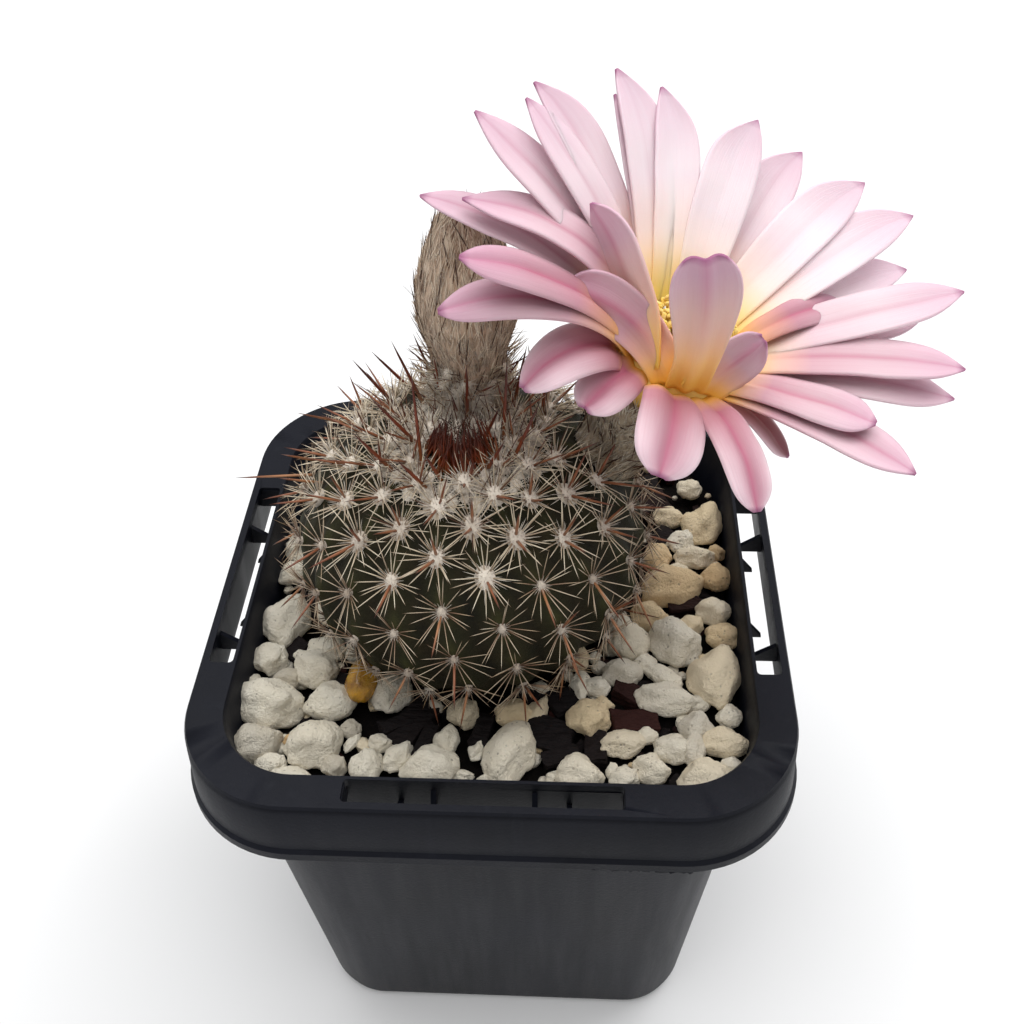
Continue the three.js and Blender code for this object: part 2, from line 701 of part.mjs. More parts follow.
function plantHole(radius, bottom, top) {
  const hole = new THREE.CylinderGeometry(radius, radius, top - bottom, 24);
  return solidOf(hole.rotateX(PI / 2).translate(GLOBE.x, GLOBE.y, (top + bottom) / 2));
}

function makeSoil() {
  const block = filling(FLOOR + GAP, SOIL_TOP, GAP);
  const chips = BARK.map((chip) => barkChip(chip, 0));
  const hole = plantHole(PLANT_HOLE, SOIL_TOP - PLANT_HOLE_DEPTH, SOIL_TOP + 6);
  return joined([block, ...chips]).subtract(hole);
}

// Pumice: x, y, length, width and the turn of the length from +X
const STONES = [
  [-27.5, -4, 8, 6, 80], [-28.6, -10.6, 5, 4.5, 0], [-25.8, -13.4, 4, 3, 20], [-21.5, -8.5, 5, 4, 0],
  [-22.3, -11.9, 6, 5.5, 0], [-27, -17.6, 9, 6.5, 0], [-20, -17, 6.5, 5, 10], [-27.6, -23, 6, 5, 30],
  [-25.4, -26, 4, 3, 0], [-20.8, -23.4, 7, 6, 30], [-14.2, -25.8, 4.5, 4, 90], [-22.8, -27.6, 6, 3, 0],
  [-10.6, -24.2, 5, 3, 60], [-7, -25.9, 7, 5, 10], [-5.2, -21.6, 4, 3, 90], [-3.5, -18.2, 4, 4, 0],
  [-12.4, -15.4, 6, 5, 70], [26, 22.5, 3.6, 3.5, 0], [27.3, 15, 8, 5.5, 80], [26, 8.8, 6, 3.6, 10],
  [28.2, 5, 4.6, 4, 0], [22.6, 3.2, 8.4, 6, 20], [21, 8.4, 5, 4, 90], [27.5, -1, 4.6, 4, 0],
  [28.6, -5, 4.5, 4, 0], [19.4, -2, 5, 4.5, 0], [22.5, -6.6, 7, 6.8, 0], [16.6, -6.6, 5.4, 5, 0],
  [27, -11.5, 9, 6.2, 80], [20.5, -11.6, 6, 2.8, -35], [15.6, -11.4, 5, 4, 0], [12.6, -13.4, 3.4, 3, 0],
  [21, -15.2, 8, 4.6, 0], [24.4, -19.2, 5, 4, 90], [28.2, -17.4, 3.2, 3, 0], [27.6, -21.2, 6, 3.8, 0],
  [11.5, -18.6, 5.4, 5, 0], [15.4, -21.8, 5.5, 3.5, 10], [21.4, -22.3, 4.5, 4, 0], [18.8, -25.2, 4.5, 4, 0],
  [28.2, -24.8, 3.4, 3, 0], [24.6, -26.4, 6.4, 4.6, 10], [10.6, -26.3, 5.5, 5, 0], [15.6, -26.6, 3.6, 3, 0],
  [2.5, -24, 9, 5.6, 70], [2.6, -17.8, 4.5, 4, 10], [5.4, -17.2, 5, 2.4, 70],
];

function stone(length, width, turn, x, y, draw) {
  const high = min(length, width) * 0.85;
  const small = length < SMALL_STONE;
  const lump = bare(small ? new THREE.BoxGeometry(1.6, 1.6, 1.6) : new THREE.IcosahedronGeometry(1, 0));
  const place = lump.getAttribute('position');
  for (let i = 0; i < place.count; i++) {
    const swell = small ? 0.7 + 0.32 * draw() : 0.9 + 0.32 * draw();
    place.setXYZ(i, place.getX(i) * swell, place.getY(i) * swell, place.getZ(i) * swell);
  }
  lump.rotateX(draw() * PI).rotateY(draw() * PI);
  lump.scale(length / 2, width / 2, high / 2).rotateZ(degToRad(turn));
  return solidOf(lump.translate(x, y, BED_TOP + high * 0.16));
}

// The stones behind the plant, on a loose grid
function backStones(draw) {
  const list = [];
  for (let y = 3; y <= 28; y += 6) {
    for (let x = -26.4; x <= 27; x += 6.6) {
      const [px, py] = [x + 2 * (draw() - 0.5), y + 2 * (draw() - 0.5)];
      const fromPlant = Math.hypot(px - GLOBE.x, py - GLOBE.y);
      const taken = STONES.some(([sx, sy]) => Math.hypot(px - sx, py - sy) < 4.6);
      const size = 5.2 + 2.6 * draw();
      const shape = [size, size * (0.7 + 0.25 * draw()), draw() * 180];
      if (fromPlant > PLANT_HOLE + 2.6 && !taken) list.push([px, py, ...shape]);
    }
  }
  return list;
}

const SMALL_STONE = 4.6;
const PRILL = { x: -16.2, y: -13.4, length: 5, width: 4, high: 3.6 };

function makePumice() {
  const draw = seeded(7);
  const stones = [...STONES, ...backStones(draw)].map(([x, y, length, width, turn]) => (
    stone(length, width, turn, x, y, draw)
  ));
  const bed = filling(SOIL_TOP + GAP, BED_TOP, GAP + 0.3);
  const limits = filling(SOIL_TOP + GAP, POT_HEIGHT - 1, GAP);
  const globeRoom = new THREE.SphereGeometry(1, 32, 20).rotateX(PI / 2);
  globeRoom.scale(GLOBE_RADIUS + 1, GLOBE_RADIUS + 1, GLOBE_RISE + 1);
  const cuts = [
    plantHole(PLANT_HOLE, SOIL_TOP - 1, POT_HEIGHT),
    solidOf(globeRoom.translate(GLOBE.x, GLOBE.y, GLOBE.z)),
    ...BARK.map((chip) => barkChip(chip, 2 * GAP)),
    prillSolid(GAP),
  ];
  return largestOf(joined([bed, ...stones]).intersect(limits).subtract(joined(cuts))).simplify(SLIVER);
}

function prillSolid(grow) {
  const { x, y, length, width, high } = PRILL;
  const bead = new THREE.IcosahedronGeometry(1, 1);
  bead.scale(length / 2 + grow, width / 2 + grow, high / 2 + grow).rotateZ(degToRad(60));
  return solidOf(bead.translate(x, y, BED_TOP + high / 2));
}

// The whole plant
function mesh(name, body, color, roughness, metalness = 0) {
  const material = new THREE.MeshStandardMaterial({ color, roughness, metalness });
  const made = new THREE.Mesh(geometryOf(body), material);
  made.name = name;
  return made;
}

const group = new THREE.Group();
group.add(
  mesh('pot', makePot(), '#2b2c30', 0.45),
  mesh('soil', makeSoil(), '#2a211c', 0.95),
  mesh('pumice', makePumice(), '#dcd3bf', 0.9),
  mesh('fertiliser_prill', prillSolid(0), '#a8791c', 0.3),
  mesh('cactus', makeCactus(), '#5a5b3c', 0.7),
  mesh('bud', woollyStalk(budLine, BUD_PROFILE, BUD_WOOL), '#8f8272', 0.9),
  mesh('flower_tube', woollyStalk(tubeLine, TUBE_PROFILE, TUBE_WOOL), '#b3a48c', 0.9),
  mesh('petals', makePetals(), '#eebcd0', 0.5),
  mesh('stamens', makeStamens(), '#f2d544', 0.6),
  mesh('style', makeStyle(), '#9c3b4a', 0.6),
);

export default group;
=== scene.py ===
import math
import random

import bpy
from mathutils import Matrix, Vector


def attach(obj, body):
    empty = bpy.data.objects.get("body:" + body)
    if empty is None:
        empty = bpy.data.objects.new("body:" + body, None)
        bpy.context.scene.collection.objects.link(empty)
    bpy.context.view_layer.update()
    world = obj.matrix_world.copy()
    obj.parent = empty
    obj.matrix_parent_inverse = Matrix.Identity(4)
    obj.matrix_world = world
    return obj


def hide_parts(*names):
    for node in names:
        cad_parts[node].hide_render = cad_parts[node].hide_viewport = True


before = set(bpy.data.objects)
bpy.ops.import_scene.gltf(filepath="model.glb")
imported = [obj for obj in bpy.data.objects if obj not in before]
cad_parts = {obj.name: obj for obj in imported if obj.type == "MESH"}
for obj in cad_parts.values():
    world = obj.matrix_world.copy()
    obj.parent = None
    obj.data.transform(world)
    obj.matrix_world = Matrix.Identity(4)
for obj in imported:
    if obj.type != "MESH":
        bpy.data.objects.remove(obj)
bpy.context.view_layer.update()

# A round cactus in a square nursery pot, with one open flower and one woolly bud.
# Shapes are worked in millimetres and brought to metres when a piece is finished.
MM = 0.001
GOLDEN_TURN = 137.5
FULL_TURN = 6.28


def turned(degrees, axis):
    return Matrix.Rotation(math.radians(degrees), 4, axis)


def moved(x, y, z):
    return Matrix.Translation((x, y, z))


def sized(x, y, z):
    return Matrix.Diagonal((x, y, z, 1))


def held(value, low=0.0, high=1.0):
    return max(low, min(high, value))


# Camera: in front of the pot and well above it, looking down on the plant
CAMERA_PLACE = (0.0091, -0.103, 0.1757)
CAMERA_YAW, CAMERA_PITCH, CAMERA_ROLL = -4.0, 43.89, -1.85
CAMERA_LENS = 41.484


def place_camera():
    yaw, pitch, roll = (math.radians(a) for a in (CAMERA_YAW, CAMERA_PITCH, CAMERA_ROLL))
    ahead = Vector((math.sin(yaw) * math.cos(pitch), math.cos(yaw) * math.cos(pitch), -math.sin(pitch)))
    right = Vector((math.cos(yaw), -math.sin(yaw), 0))
    up = right.cross(ahead)
    right, up = math.cos(roll) * right + math.sin(roll) * up, math.cos(roll) * up - math.sin(roll) * right
    bpy.ops.object.camera_add()
    camera = bpy.context.object
    camera.name = "camera"
    turn = Matrix((right, up, -ahead)).transposed()
    camera.matrix_world = Matrix.Translation(CAMERA_PLACE) @ turn.to_4x4()
    camera.data.lens = CAMERA_LENS
    camera.data.clip_start = 0.005
    bpy.context.scene.camera = camera


# Working on one piece
def take(piece):
    bpy.ops.object.select_all(action="DESELECT")
    piece.select_set(True)
    bpy.context.view_layer.objects.active = piece


def edit(piece):
    take(piece)
    bpy.ops.object.mode_set(mode="EDIT")
    bpy.ops.mesh.select_all(action="SELECT")


def leave():
    bpy.ops.object.mode_set(mode="OBJECT")


def pick(piece, chosen, kind="VERT"):
    """In edit mode, selects only these vertices, or the edges or faces whose vertices all are among them."""
    take(piece)
    mesh = piece.data
    edges = [all(v in chosen for v in edge.vertices) for edge in mesh.edges]
    faces = [all(v in chosen for v in face.vertices) for face in mesh.polygons]
    mesh.vertices.foreach_set("select", [v in chosen for v in range(len(mesh.vertices))])
    mesh.edges.foreach_set("select", edges)
    mesh.polygons.foreach_set("select", faces)
    bpy.ops.object.mode_set(mode="EDIT")
    bpy.ops.mesh.select_mode(type=kind)


def modify(piece, kind, **settings):
    """Adds one modifier and applies it."""
    take(piece)
    added = piece.modifiers.new(kind.title(), kind)
    for key, value in settings.items():
        setattr(added, key, value)
    bpy.ops.object.modifier_apply(modifier=added.name)


def soften(piece):
    modify(piece, "SUBSURF", levels=1, render_levels=1)


def bend(piece, axis, degrees):
    modify(piece, "SIMPLE_DEFORM", deform_method="BEND", deform_axis=axis, angle=math.radians(degrees))


def lumps(piece, size, strength):
    grain = bpy.data.textures.new("lumps", "CLOUDS")
    grain.noise_scale = size
    modify(piece, "DISPLACE", texture=grain, strength=strength, mid_level=0.5)


def outward(piece):
    edit(piece)
    bpy.ops.mesh.normals_make_consistent(inside=False)
    leave()
    mesh = piece.data
    mesh.calc_loop_triangles()
    triangles = [[mesh.vertices[v].co for v in triangle.vertices] for triangle in mesh.loop_triangles]
    if sum(a.dot(b.cross(c)) for a, b, c in triangles) < 0:
        edit(piece)
        bpy.ops.mesh.flip_normals()
        leave()


def smooth(piece, angle=None):
    take(piece)
    if angle is None:
        bpy.ops.object.shade_smooth()
    else:
        bpy.ops.object.shade_smooth_by_angle(angle=math.radians(angle))


def join(name, pieces):
    take(pieces[0])
    for piece in pieces:
        piece.select_set(True)
    if len(pieces) > 1:
        bpy.ops.object.join()
    bpy.ops.object.transform_apply(location=True, rotation=True, scale=True)
    made = bpy.context.object
    made.name = name
    return made


def scatter(name, places):
    """One piece from copies of other shapes: each place is a shape, where it goes, and its marks."""
    copies = []
    for shape, where, marks in places:
        mesh = shape.data.copy()
        mesh.transform(where)
        for mark_name, value in marks.items():
            layer = mesh.attributes.get(mark_name) or mesh.attributes.new(mark_name, "FLOAT", "POINT")
            layer.data.foreach_set("value", [value] * len(mesh.vertices))
        copy = bpy.data.objects.new(name, mesh)
        bpy.context.collection.objects.link(copy)
        copies.append(copy)
    return join(name, copies)


def mark(piece, name, value_of):
    """Writes a number on each vertex, read by the finish."""
    layer = piece.data.attributes.new(name, "FLOAT", "POINT")
    layer.data.foreach_set("value", [value_of(vertex.co) for vertex in piece.data.vertices])


def drop(*pieces):
    bpy.ops.object.select_all(action="DESELECT")
    for piece in pieces:
        piece.select_set(True)
    bpy.ops.object.delete()


def settle(piece, name, material, slot, *nodes):
    """Brings a finished piece to metres, names it, gives it its finish and hides the parts of model.glb that
    it replaces.
    """
    piece.name = name
    piece.scale = (MM, MM, MM)
    take(piece)
    bpy.ops.object.transform_apply(location=True, rotation=True, scale=True)
    piece.data.materials.clear()
    piece.data.materials.append(material)
    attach(piece, "root")
    if nodes:
        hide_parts(*nodes)


def rings(profile, count):
    """Round loops of edges, each from its radius and height."""
    loops = []
    for radius, height in profile:
        bpy.ops.mesh.primitive_circle_add(vertices=count, radius=radius, location=(0, 0, height))
        loops.append(bpy.context.object)
    return loops


def rough_ball(offset, seed, **spread):
    """In edit mode, a coarse ball with its corners pushed about."""
    bpy.ops.mesh.primitive_ico_sphere_add(subdivisions=2, radius=1, enter_editmode=True)
    bpy.ops.mesh.select_all(action="SELECT")
    bpy.ops.transform.vertex_random(offset=offset, seed=seed, **spread)
    return bpy.context.object


def skin(name, loops, count):
    """Bridges loops of edges in their order and closes both ends."""
    made = join(name, loops)
    for step in range(len(loops) - 1):
        pair = set(range(step * count, (step + 2) * count))
        pick(made, pair, "EDGE")
        bpy.ops.mesh.bridge_edge_loops()
        leave()
    last = (len(loops) - 1) * count
    for start in (0, last):
        pick(made, set(range(start, start + count)), "EDGE")
        bpy.ops.mesh.edge_face_add()
        leave()
    outward(made)
    return made


# Finishes
def srgb(code):
    parts = [int(code[i:i + 2], 16) / 255 for i in (1, 3, 5)]
    return tuple(p / 12.92 if p <= 0.04045 else ((p + 0.055) / 1.055) ** 2.4 for p in parts) + (1,)


def node(tree, kind, inputs=None, **settings):
    made = tree.nodes.new("ShaderNode" + kind)
    for key, value in settings.items():
        setattr(made, key, value)
    for key, value in (inputs or {}).items():
        if isinstance(value, bpy.types.NodeSocket):
            tree.links.new(value, made.inputs[key])
        else:
            made.inputs[key].default_value = value
    return made


def mix(tree, factor, first, second):
    """Two colours mixed, each of them a code, a socket or four values."""
    first, second = (srgb(colour) if isinstance(colour, str) else colour for colour in (first, second))
    return node(tree, "Mix", {0: factor, 6: first, 7: second}, data_type="RGBA").outputs[2]


def math_of(tree, operation, first, second=0.5, clamp=True):
    return node(tree, "Math", {0: first, 1: second}, operation=operation, use_clamp=clamp).outputs[0]


def times(tree, first, second):
    return math_of(tree, "MULTIPLY", first, second)


def wash(tree, base, colour, mask, strength):
    """The base with a colour laid over it by a mask of this strength."""
    return mix(tree, times(tree, mask, strength), base, colour)


def ramp(tree, value, stops):
    made = node(tree, "ValToRGB", {0: value})
    bar = made.color_ramp.elements
    while len(bar) < len(stops):
        bar.new(0.5)
    for element, (place, colour) in zip(bar, stops):
        element.position = place
        element.color = srgb(colour) if isinstance(colour, str) else (colour, colour, colour, 1)
    return made.outputs[0]


def noise(tree, place, scale, detail=4, rough=0.6):
    made = node(tree, "TexNoise", {"Vector": place, "Scale": scale, "Detail": detail, "Roughness": rough})
    return made.outputs[0]


def read(tree, name):
    return node(tree, "Attribute", attribute_name=name).outputs["Fac"]


def here(tree):
    return node(tree, "TexCoord").outputs["Object"]


def stretched(tree, scale):
    return node(tree, "Mapping", {"Vector": here(tree), "Scale": scale}).outputs[0]


def bump(tree, height, distance, strength=1.0):
    return node(tree, "Bump", {"Height": height, "Distance": distance, "Strength": strength}).outputs[0]


def finish(name, **values):
    """A new material, its constant values set on the shader itself."""
    made = bpy.data.materials.new(name)
    made.use_nodes = True
    shader = made.node_tree.nodes["Principled BSDF"]
    for key, value in values.items():
        shader.inputs[key.replace("_", " ")].default_value = value
    return made, made.node_tree, shader


def feed(tree, shader, **sockets):
    for key, value in sockets.items():
        tree.links.new(value, shader.inputs[key.replace("_", " ")])


def mottle_group():
    """Soft patches at two scales, and fine grain, for anything grown or broken."""
    group = bpy.data.node_groups.new("mottle", "ShaderNodeTree")
    for name, way, kind in (("Place", "INPUT", "Vector"), ("Patch size", "INPUT", "Float"),
                            ("Grain size", "INPUT", "Float"), ("Patches", "OUTPUT", "Float"),
                            ("Grain", "OUTPUT", "Float")):
        group.interface.new_socket(name, in_out=way, socket_type="NodeSocket" + kind)
    entry = group.nodes.new("NodeGroupInput")
    end = group.nodes.new("NodeGroupOutput")
    patches = noise(group, entry.outputs["Place"], entry.outputs["Patch size"], 3, 0.55)
    grain = noise(group, entry.outputs["Place"], entry.outputs["Grain size"], 5, 0.7)
    spread = node(group, "MapRange", {0: patches, 1: 0.3, 2: 0.7})
    sharp = node(group, "MapRange", {0: grain, 1: 0.32, 2: 0.68})
    group.links.new(spread.outputs[0], end.inputs["Patches"])
    group.links.new(sharp.outputs[0], end.inputs["Grain"])
    return group


MOTTLE = mottle_group()


def mottle(tree, place, patch, grain):
    made = tree.nodes.new("ShaderNodeGroup")
    made.node_tree = MOTTLE
    tree.links.new(place, made.inputs["Place"])
    made.inputs["Patch size"].default_value = patch
    made.inputs["Grain size"].default_value = grain
    return made.outputs["Patches"], made.outputs["Grain"]


def pot_finish():
    made, tree, shader = finish("pot plastic", IOR=1.46, Specular_IOR_Level=0.16)
    patches, grain = mottle(tree, here(tree), 60, 2500)
    streaks = noise(tree, stretched(tree, (400, 400, 25)), 1.0, 4, 0.6)
    shade = mix(tree, patches, "#0c0e15", "#12141d")
    scuffed = wash(tree, shade, "#2b2d34", ramp(tree, streaks, [(0.6, 0.0), (0.8, 1.0)]), 0.25)
    rough = node(tree, "MapRange", {0: streaks, 1: 0.3, 2: 0.75, 3: 0.4, 4: 0.5}).outputs[0]
    feed(tree, shader, Base_Color=scuffed, Roughness=rough, Normal=bump(tree, grain, 0.00003, 0.5))
    return made


def soil_finish():
    made, tree, shader = finish("soil", Roughness=0.95, Specular_IOR_Level=0.15)
    patches, grain = mottle(tree, here(tree), 450, 1800)
    dark = mix(tree, patches, "#070505", "#15100d")
    crumbs = wash(tree, dark, "#2a201a", grain, 0.25)
    feed(tree, shader, Base_Color=crumbs, Normal=bump(tree, grain, 0.0006))
    return made


def bark_finish():
    made, tree, shader = finish("bark", Roughness=0.8, Specular_IOR_Level=0.2)
    patches, grain = mottle(tree, stretched(tree, (300, 900, 900)), 1, 4)
    # Painted shade: the bark's dark browns are taken down to near black for the shadow between the stones.
    brown = ramp(tree, read(tree, "tint"), [(0.0, "#050406"), (0.5, "#0e0808"), (1.0, "#30120e")])
    flecked = wash(tree, brown, "#2c1a15", grain, 0.18)
    feed(tree, shader, Base_Color=flecked, Normal=bump(tree, patches, 0.0005))
    return made


def pumice_finish():
    """Pale porous stone, from grey through white and cream to tan."""
    made, tree, shader = finish("pumice", Roughness=0.92)
    place = here(tree)
    patches, grain = mottle(tree, place, 260, 2600)
    stone = ramp(tree, read(tree, "tint"), [
        (0.0, "#b9b1a2"), (0.25, "#ece5d5"), (0.5, "#fdf6e4"), (0.75, "#f5e0b9"), (1.0, "#dfb47a")])
    stain = wash(tree, stone, "#d8c6a2", patches, 0.28)
    pores = node(tree, "TexVoronoi", {"Vector": place, "Scale": 1500.0, "Randomness": 1.0}).outputs[0]
    holes = ramp(tree, pores, [(0.12, 1.0), (0.3, 0.0)])
    some = times(tree, holes, ramp(tree, noise(tree, place, 500, 2), [(0.5, 0.0), (0.62, 1.0)]))
    height = math_of(tree, "SUBTRACT", grain, some)
    specked = wash(tree, stain, "#6d6252", some, 0.7)
    feed(tree, shader, Base_Color=specked, Normal=bump(tree, height, 0.0003, 0.9))
    return made


def prill_finish():
    made, tree, shader = finish("amber coating", Roughness=0.25, Coat_Weight=0.6, Subsurface_Weight=0.4)
    shader.inputs["Subsurface Radius"].default_value = (0.002, 0.001, 0.0003)
    patches, grain = mottle(tree, here(tree), 700, 2500)
    amber = mix(tree, patches, "#8a5f16", "#d8a02c")
    feed(tree, shader, Base_Color=amber, Normal=bump(tree, grain, 0.0001))
    return made


def skin_finish():
    """Olive green skin, with painted shade that darkens the grooves and notches, and a pale bloom."""
    made, tree, shader = finish("cactus skin", Roughness=0.65, Specular_IOR_Level=0.18)
    patches, grain = mottle(tree, here(tree), 300, 3000)
    # Painted shade: the ridge mark takes the skin from its lightest on the knobs down to near black in the
    # valleys.
    green = ramp(tree, read(tree, "ridge"), [(0.0, "#0a0b05"), (0.6, "#20220f"), (1.0, "#393b1d")])
    dusty = wash(tree, green, "#3a2e18", patches, 0.35)
    bloom = wash(tree, dusty, "#4c472f", grain, 0.1)
    feed(tree, shader, Base_Color=bloom, Normal=bump(tree, grain, 0.00008))
    return made


def wool_finish(name, dark, pale):
    made, tree, shader = finish(name, Roughness=0.95, Sheen_Weight=0.3)
    patches, grain = mottle(tree, here(tree), 600, 4000)
    wool = wash(tree, mix(tree, read(tree, "tint"), dark, pale), "#a3927c", grain, 0.25)
    feed(tree, shader, Base_Color=wool, Normal=bump(tree, patches, 0.0003, 0.7))
    return made


def spine_finish(name, stops, pale_stops):
    """Colour along a spine from its root to its tip, each spine between two scales."""
    made, tree, shader = finish(name, Roughness=0.45)
    length = read(tree, "along")
    colour = mix(tree, read(tree, "tint"), ramp(tree, length, stops), ramp(tree, length, pale_stops))
    patches, _ = mottle(tree, here(tree), 800, 3000)
    feed(tree, shader, Base_Color=wash(tree, colour, "#6b4a30", patches, 0.2))
    return made


def stalk_finish(name, stops):
    """Matted wool combed upward, with brown skin between the locks."""
    made, tree, shader = finish(name, Roughness=0.9, Sheen_Weight=0.25)
    locks = noise(tree, stretched(tree, (1300, 1300, 230)), 1.0, 5, 0.65)
    patches, _ = mottle(tree, here(tree), 350, 4000)
    colour = wash(tree, ramp(tree, locks, stops), "#5b4a3b", patches, 0.35)
    feed(tree, shader, Base_Color=colour, Normal=bump(tree, locks, 0.0008))
    return made


def petal_finish():
    """Golden at the root, pink along, pale at the outer edges, with a deeper midline."""
    made, tree, shader = finish("petal", Roughness=0.5, Subsurface_Weight=0.4, Specular_IOR_Level=0.3)
    shader.inputs["Subsurface Scale"].default_value = 0.1
    shader.inputs["Subsurface Radius"].default_value = (0.002, 0.0016, 0.0017)
    place = node(tree, "UVMap", uv_map="UVMap").outputs[0]
    sides = node(tree, "SeparateXYZ", {0: place})
    along, over = sides.outputs[1], sides.outputs[0]
    out = math_of(tree, "ABSOLUTE", math_of(tree, "SUBTRACT", over, 0.5, clamp=False))
    # Paleness is partly each petal's own tint and partly painted light: petals in shade were given more of
    # it, brightly lit ones less.
    pale, gold, brown = read(tree, "pale"), read(tree, "gold"), read(tree, "brown")
    vivid = math_of(tree, "SUBTRACT", 1.0, pale)
    pink = mix(tree, pale, "#b07786", "#f3e7ec")
    rose = times(tree, vivid, ramp(tree, along, [(0.15, 1.0), (0.6, 0.0)]))
    pink = wash(tree, pink, "#bd707e", rose, 0.75)
    margin = ramp(tree, out, [(0.12, 0.0), (0.46, 1.0)])
    margin = times(tree, margin, ramp(tree, along, [(0.3, 0.15), (0.8, 0.95)]))
    edged = wash(tree, pink, "#f2dce2", margin, ramp(tree, gold, [(0.22, 1.0), (0.32, 0.35)]))
    lined = wash(tree, edged, "#b4607a", ramp(tree, out, [(0.0, 0.85), (0.12, 0.0)]), vivid)
    combed = node(tree, "Mapping", {"Vector": place, "Scale": (40, 1.6, 1)}).outputs[0]
    streaks = noise(tree, combed, 1.0, 4, 0.6)
    veins = times(tree, ramp(tree, streaks, [(0.45, 0.0), (0.75, 1.0)]), 0.2)
    veined = wash(tree, lined, "#bd7088", veins, math_of(tree, "ADD", vivid, 0.25))
    rooted = math_of(tree, "DIVIDE", along, gold)
    yellow = mix(tree, pale, "#f2b84c", "#f5d26c")
    cream = mix(tree, pale, "#e9b183", "#fce6d6")
    warm = mix(tree, ramp(tree, rooted, [(0.1, 0.0), (0.6, 1.0)]), yellow, cream)
    grown = mix(tree, ramp(tree, rooted, [(0.3, 0.0), (1.0, 1.0)]), warm, veined)
    sepal = wash(tree, grown, "#84504c", brown, ramp(tree, out, [(0.25, 0.9), (0.48, 0.1)]))
    outer_gold = ramp(tree, gold, [(0.22, 0.3), (0.32, 1.0)])
    blushed = wash(tree, sepal, "#cf9db9", ramp(tree, along, [(0.65, 0.0), (1.0, 0.5)]), outer_gold)
    tipped = mix(tree, ramp(tree, along, [(0.955, 0.0), (1.0, 0.9)]), blushed, "#a05d84")
    feed(tree, shader, Base_Color=tipped, Normal=bump(tree, streaks, 0.0001, 0.5))
    return made


def plain_finish(name, colour, other, rough, size):
    made, tree, shader = finish(name, Roughness=rough)
    patches, grain = mottle(tree, here(tree), size, size * 5)
    feed(tree, shader, Base_Color=mix(tree, patches, colour, other), Normal=bump(tree, grain, 0.00005))
    return made


# Pot: half width, corner radius and height, from the inner floor up, over the rim and down outside
POT_HEIGHT = 65.5
POT_RINGS = [
    (25.6, 7.6, 1.4), (30.5, 9.2, 64.9), (30.8, 9.5, 65.4), (34.95, 13.3, 65.5), (35.15, 13.5, 65.1),
    (34.9, 13.25, 64.75), (35.2, 13.5, 64.3), (35.6, 13.8, 57.9), (36, 14.2, 57.4), (36.05, 14.25, 56.3),
    (35.1, 13.3, 56.4), (34.8, 13, 58), (34.4, 12.6, 64.4), (31.2, 9.8, 64.2), (26.6, 9, 2.5),
    (26, 8.2, 0.6), (25.1, 7.4, 0),
]
INNER_FOOT, INNER_RIM = POT_RINGS[:2]
CORNER_STEPS = 18
LOOP_POINTS = 4 * (CORNER_STEPS + 1)
SLOT_SIZE, SLOT_MIDDLE = (30.8, 2.9, 4), (0, 32.65, POT_HEIGHT)
DRAIN_RADIUS, DRAIN_OFFSET = 3.5, 13
# Webs: place along the side, the two walls they join, foot, head, and the wall that the top falls to
WEB_THICKNESS, WEB_EDGE = 0.6, 0.2
WEBS = [
    (9.4, 30.85, 34.9, 60.9, 64.2, "near"), (5.6, 30.85, 33.1, 60.9, 64, "far"),
    (15.6, 30.8, 34.9, 62, 65, None),
]
# The sliver under the skirt: its middle, its length and its height
FLASH_PLACE, FLASH_LENGTH, FLASH_DROP = (17.2, -35.7, 56.2), 12, 0.9


def round_square(half, corner, height):
    """A loop of edges: a square with round corners."""
    bpy.ops.mesh.primitive_plane_add(size=2 * half, location=(0, 0, height), enter_editmode=True)
    bpy.ops.mesh.select_all(action="SELECT")
    bpy.ops.mesh.bevel(offset=corner, segments=CORNER_STEPS, affect="VERTICES")
    bpy.ops.mesh.delete(type="ONLY_FACE")
    leave()
    return bpy.context.object


def block(size, place):
    bpy.ops.mesh.primitive_cube_add(size=1, location=place, scale=size)
    bpy.ops.object.transform_apply(location=True, rotation=True, scale=True)
    return bpy.context.object


def quarter_turns(shapes):
    return [(shape, turned(90 * side, "Z"), {}) for shape in shapes for side in range(4)]


def stay(place, near, far, foot, head, low_side):
    """A thin web between the rim's two walls, its top falling to the wall that low_side names, if any."""
    web = block((WEB_THICKNESS, far - near, head - foot), (place, (near + far) / 2, (head + foot) / 2))
    if low_side:
        pick(web, {v.index for v in web.data.vertices
                   if v.co.z > foot + 0.5 and (v.co.y < near + 0.1) == (low_side == "near")})
        bpy.ops.transform.translate(value=(0, 0, WEB_EDGE + foot - head))
        leave()
    return web


def moulding_flash():
    """The ragged sliver that the mould left under the front of the skirt."""
    bpy.ops.mesh.primitive_grid_add(x_subdivisions=40, y_subdivisions=3, size=1)
    flash = bpy.context.object
    flash.data.transform(moved(*FLASH_PLACE) @ turned(90, "X") @ sized(FLASH_LENGTH, FLASH_DROP, 1))
    low = {v.index for v in flash.data.vertices if v.co.z < FLASH_PLACE[2]}
    pick(flash, low)
    bpy.ops.transform.vertex_random(offset=0.22, seed=6)
    leave()
    modify(flash, "SOLIDIFY", thickness=0.25, offset=0)
    return flash


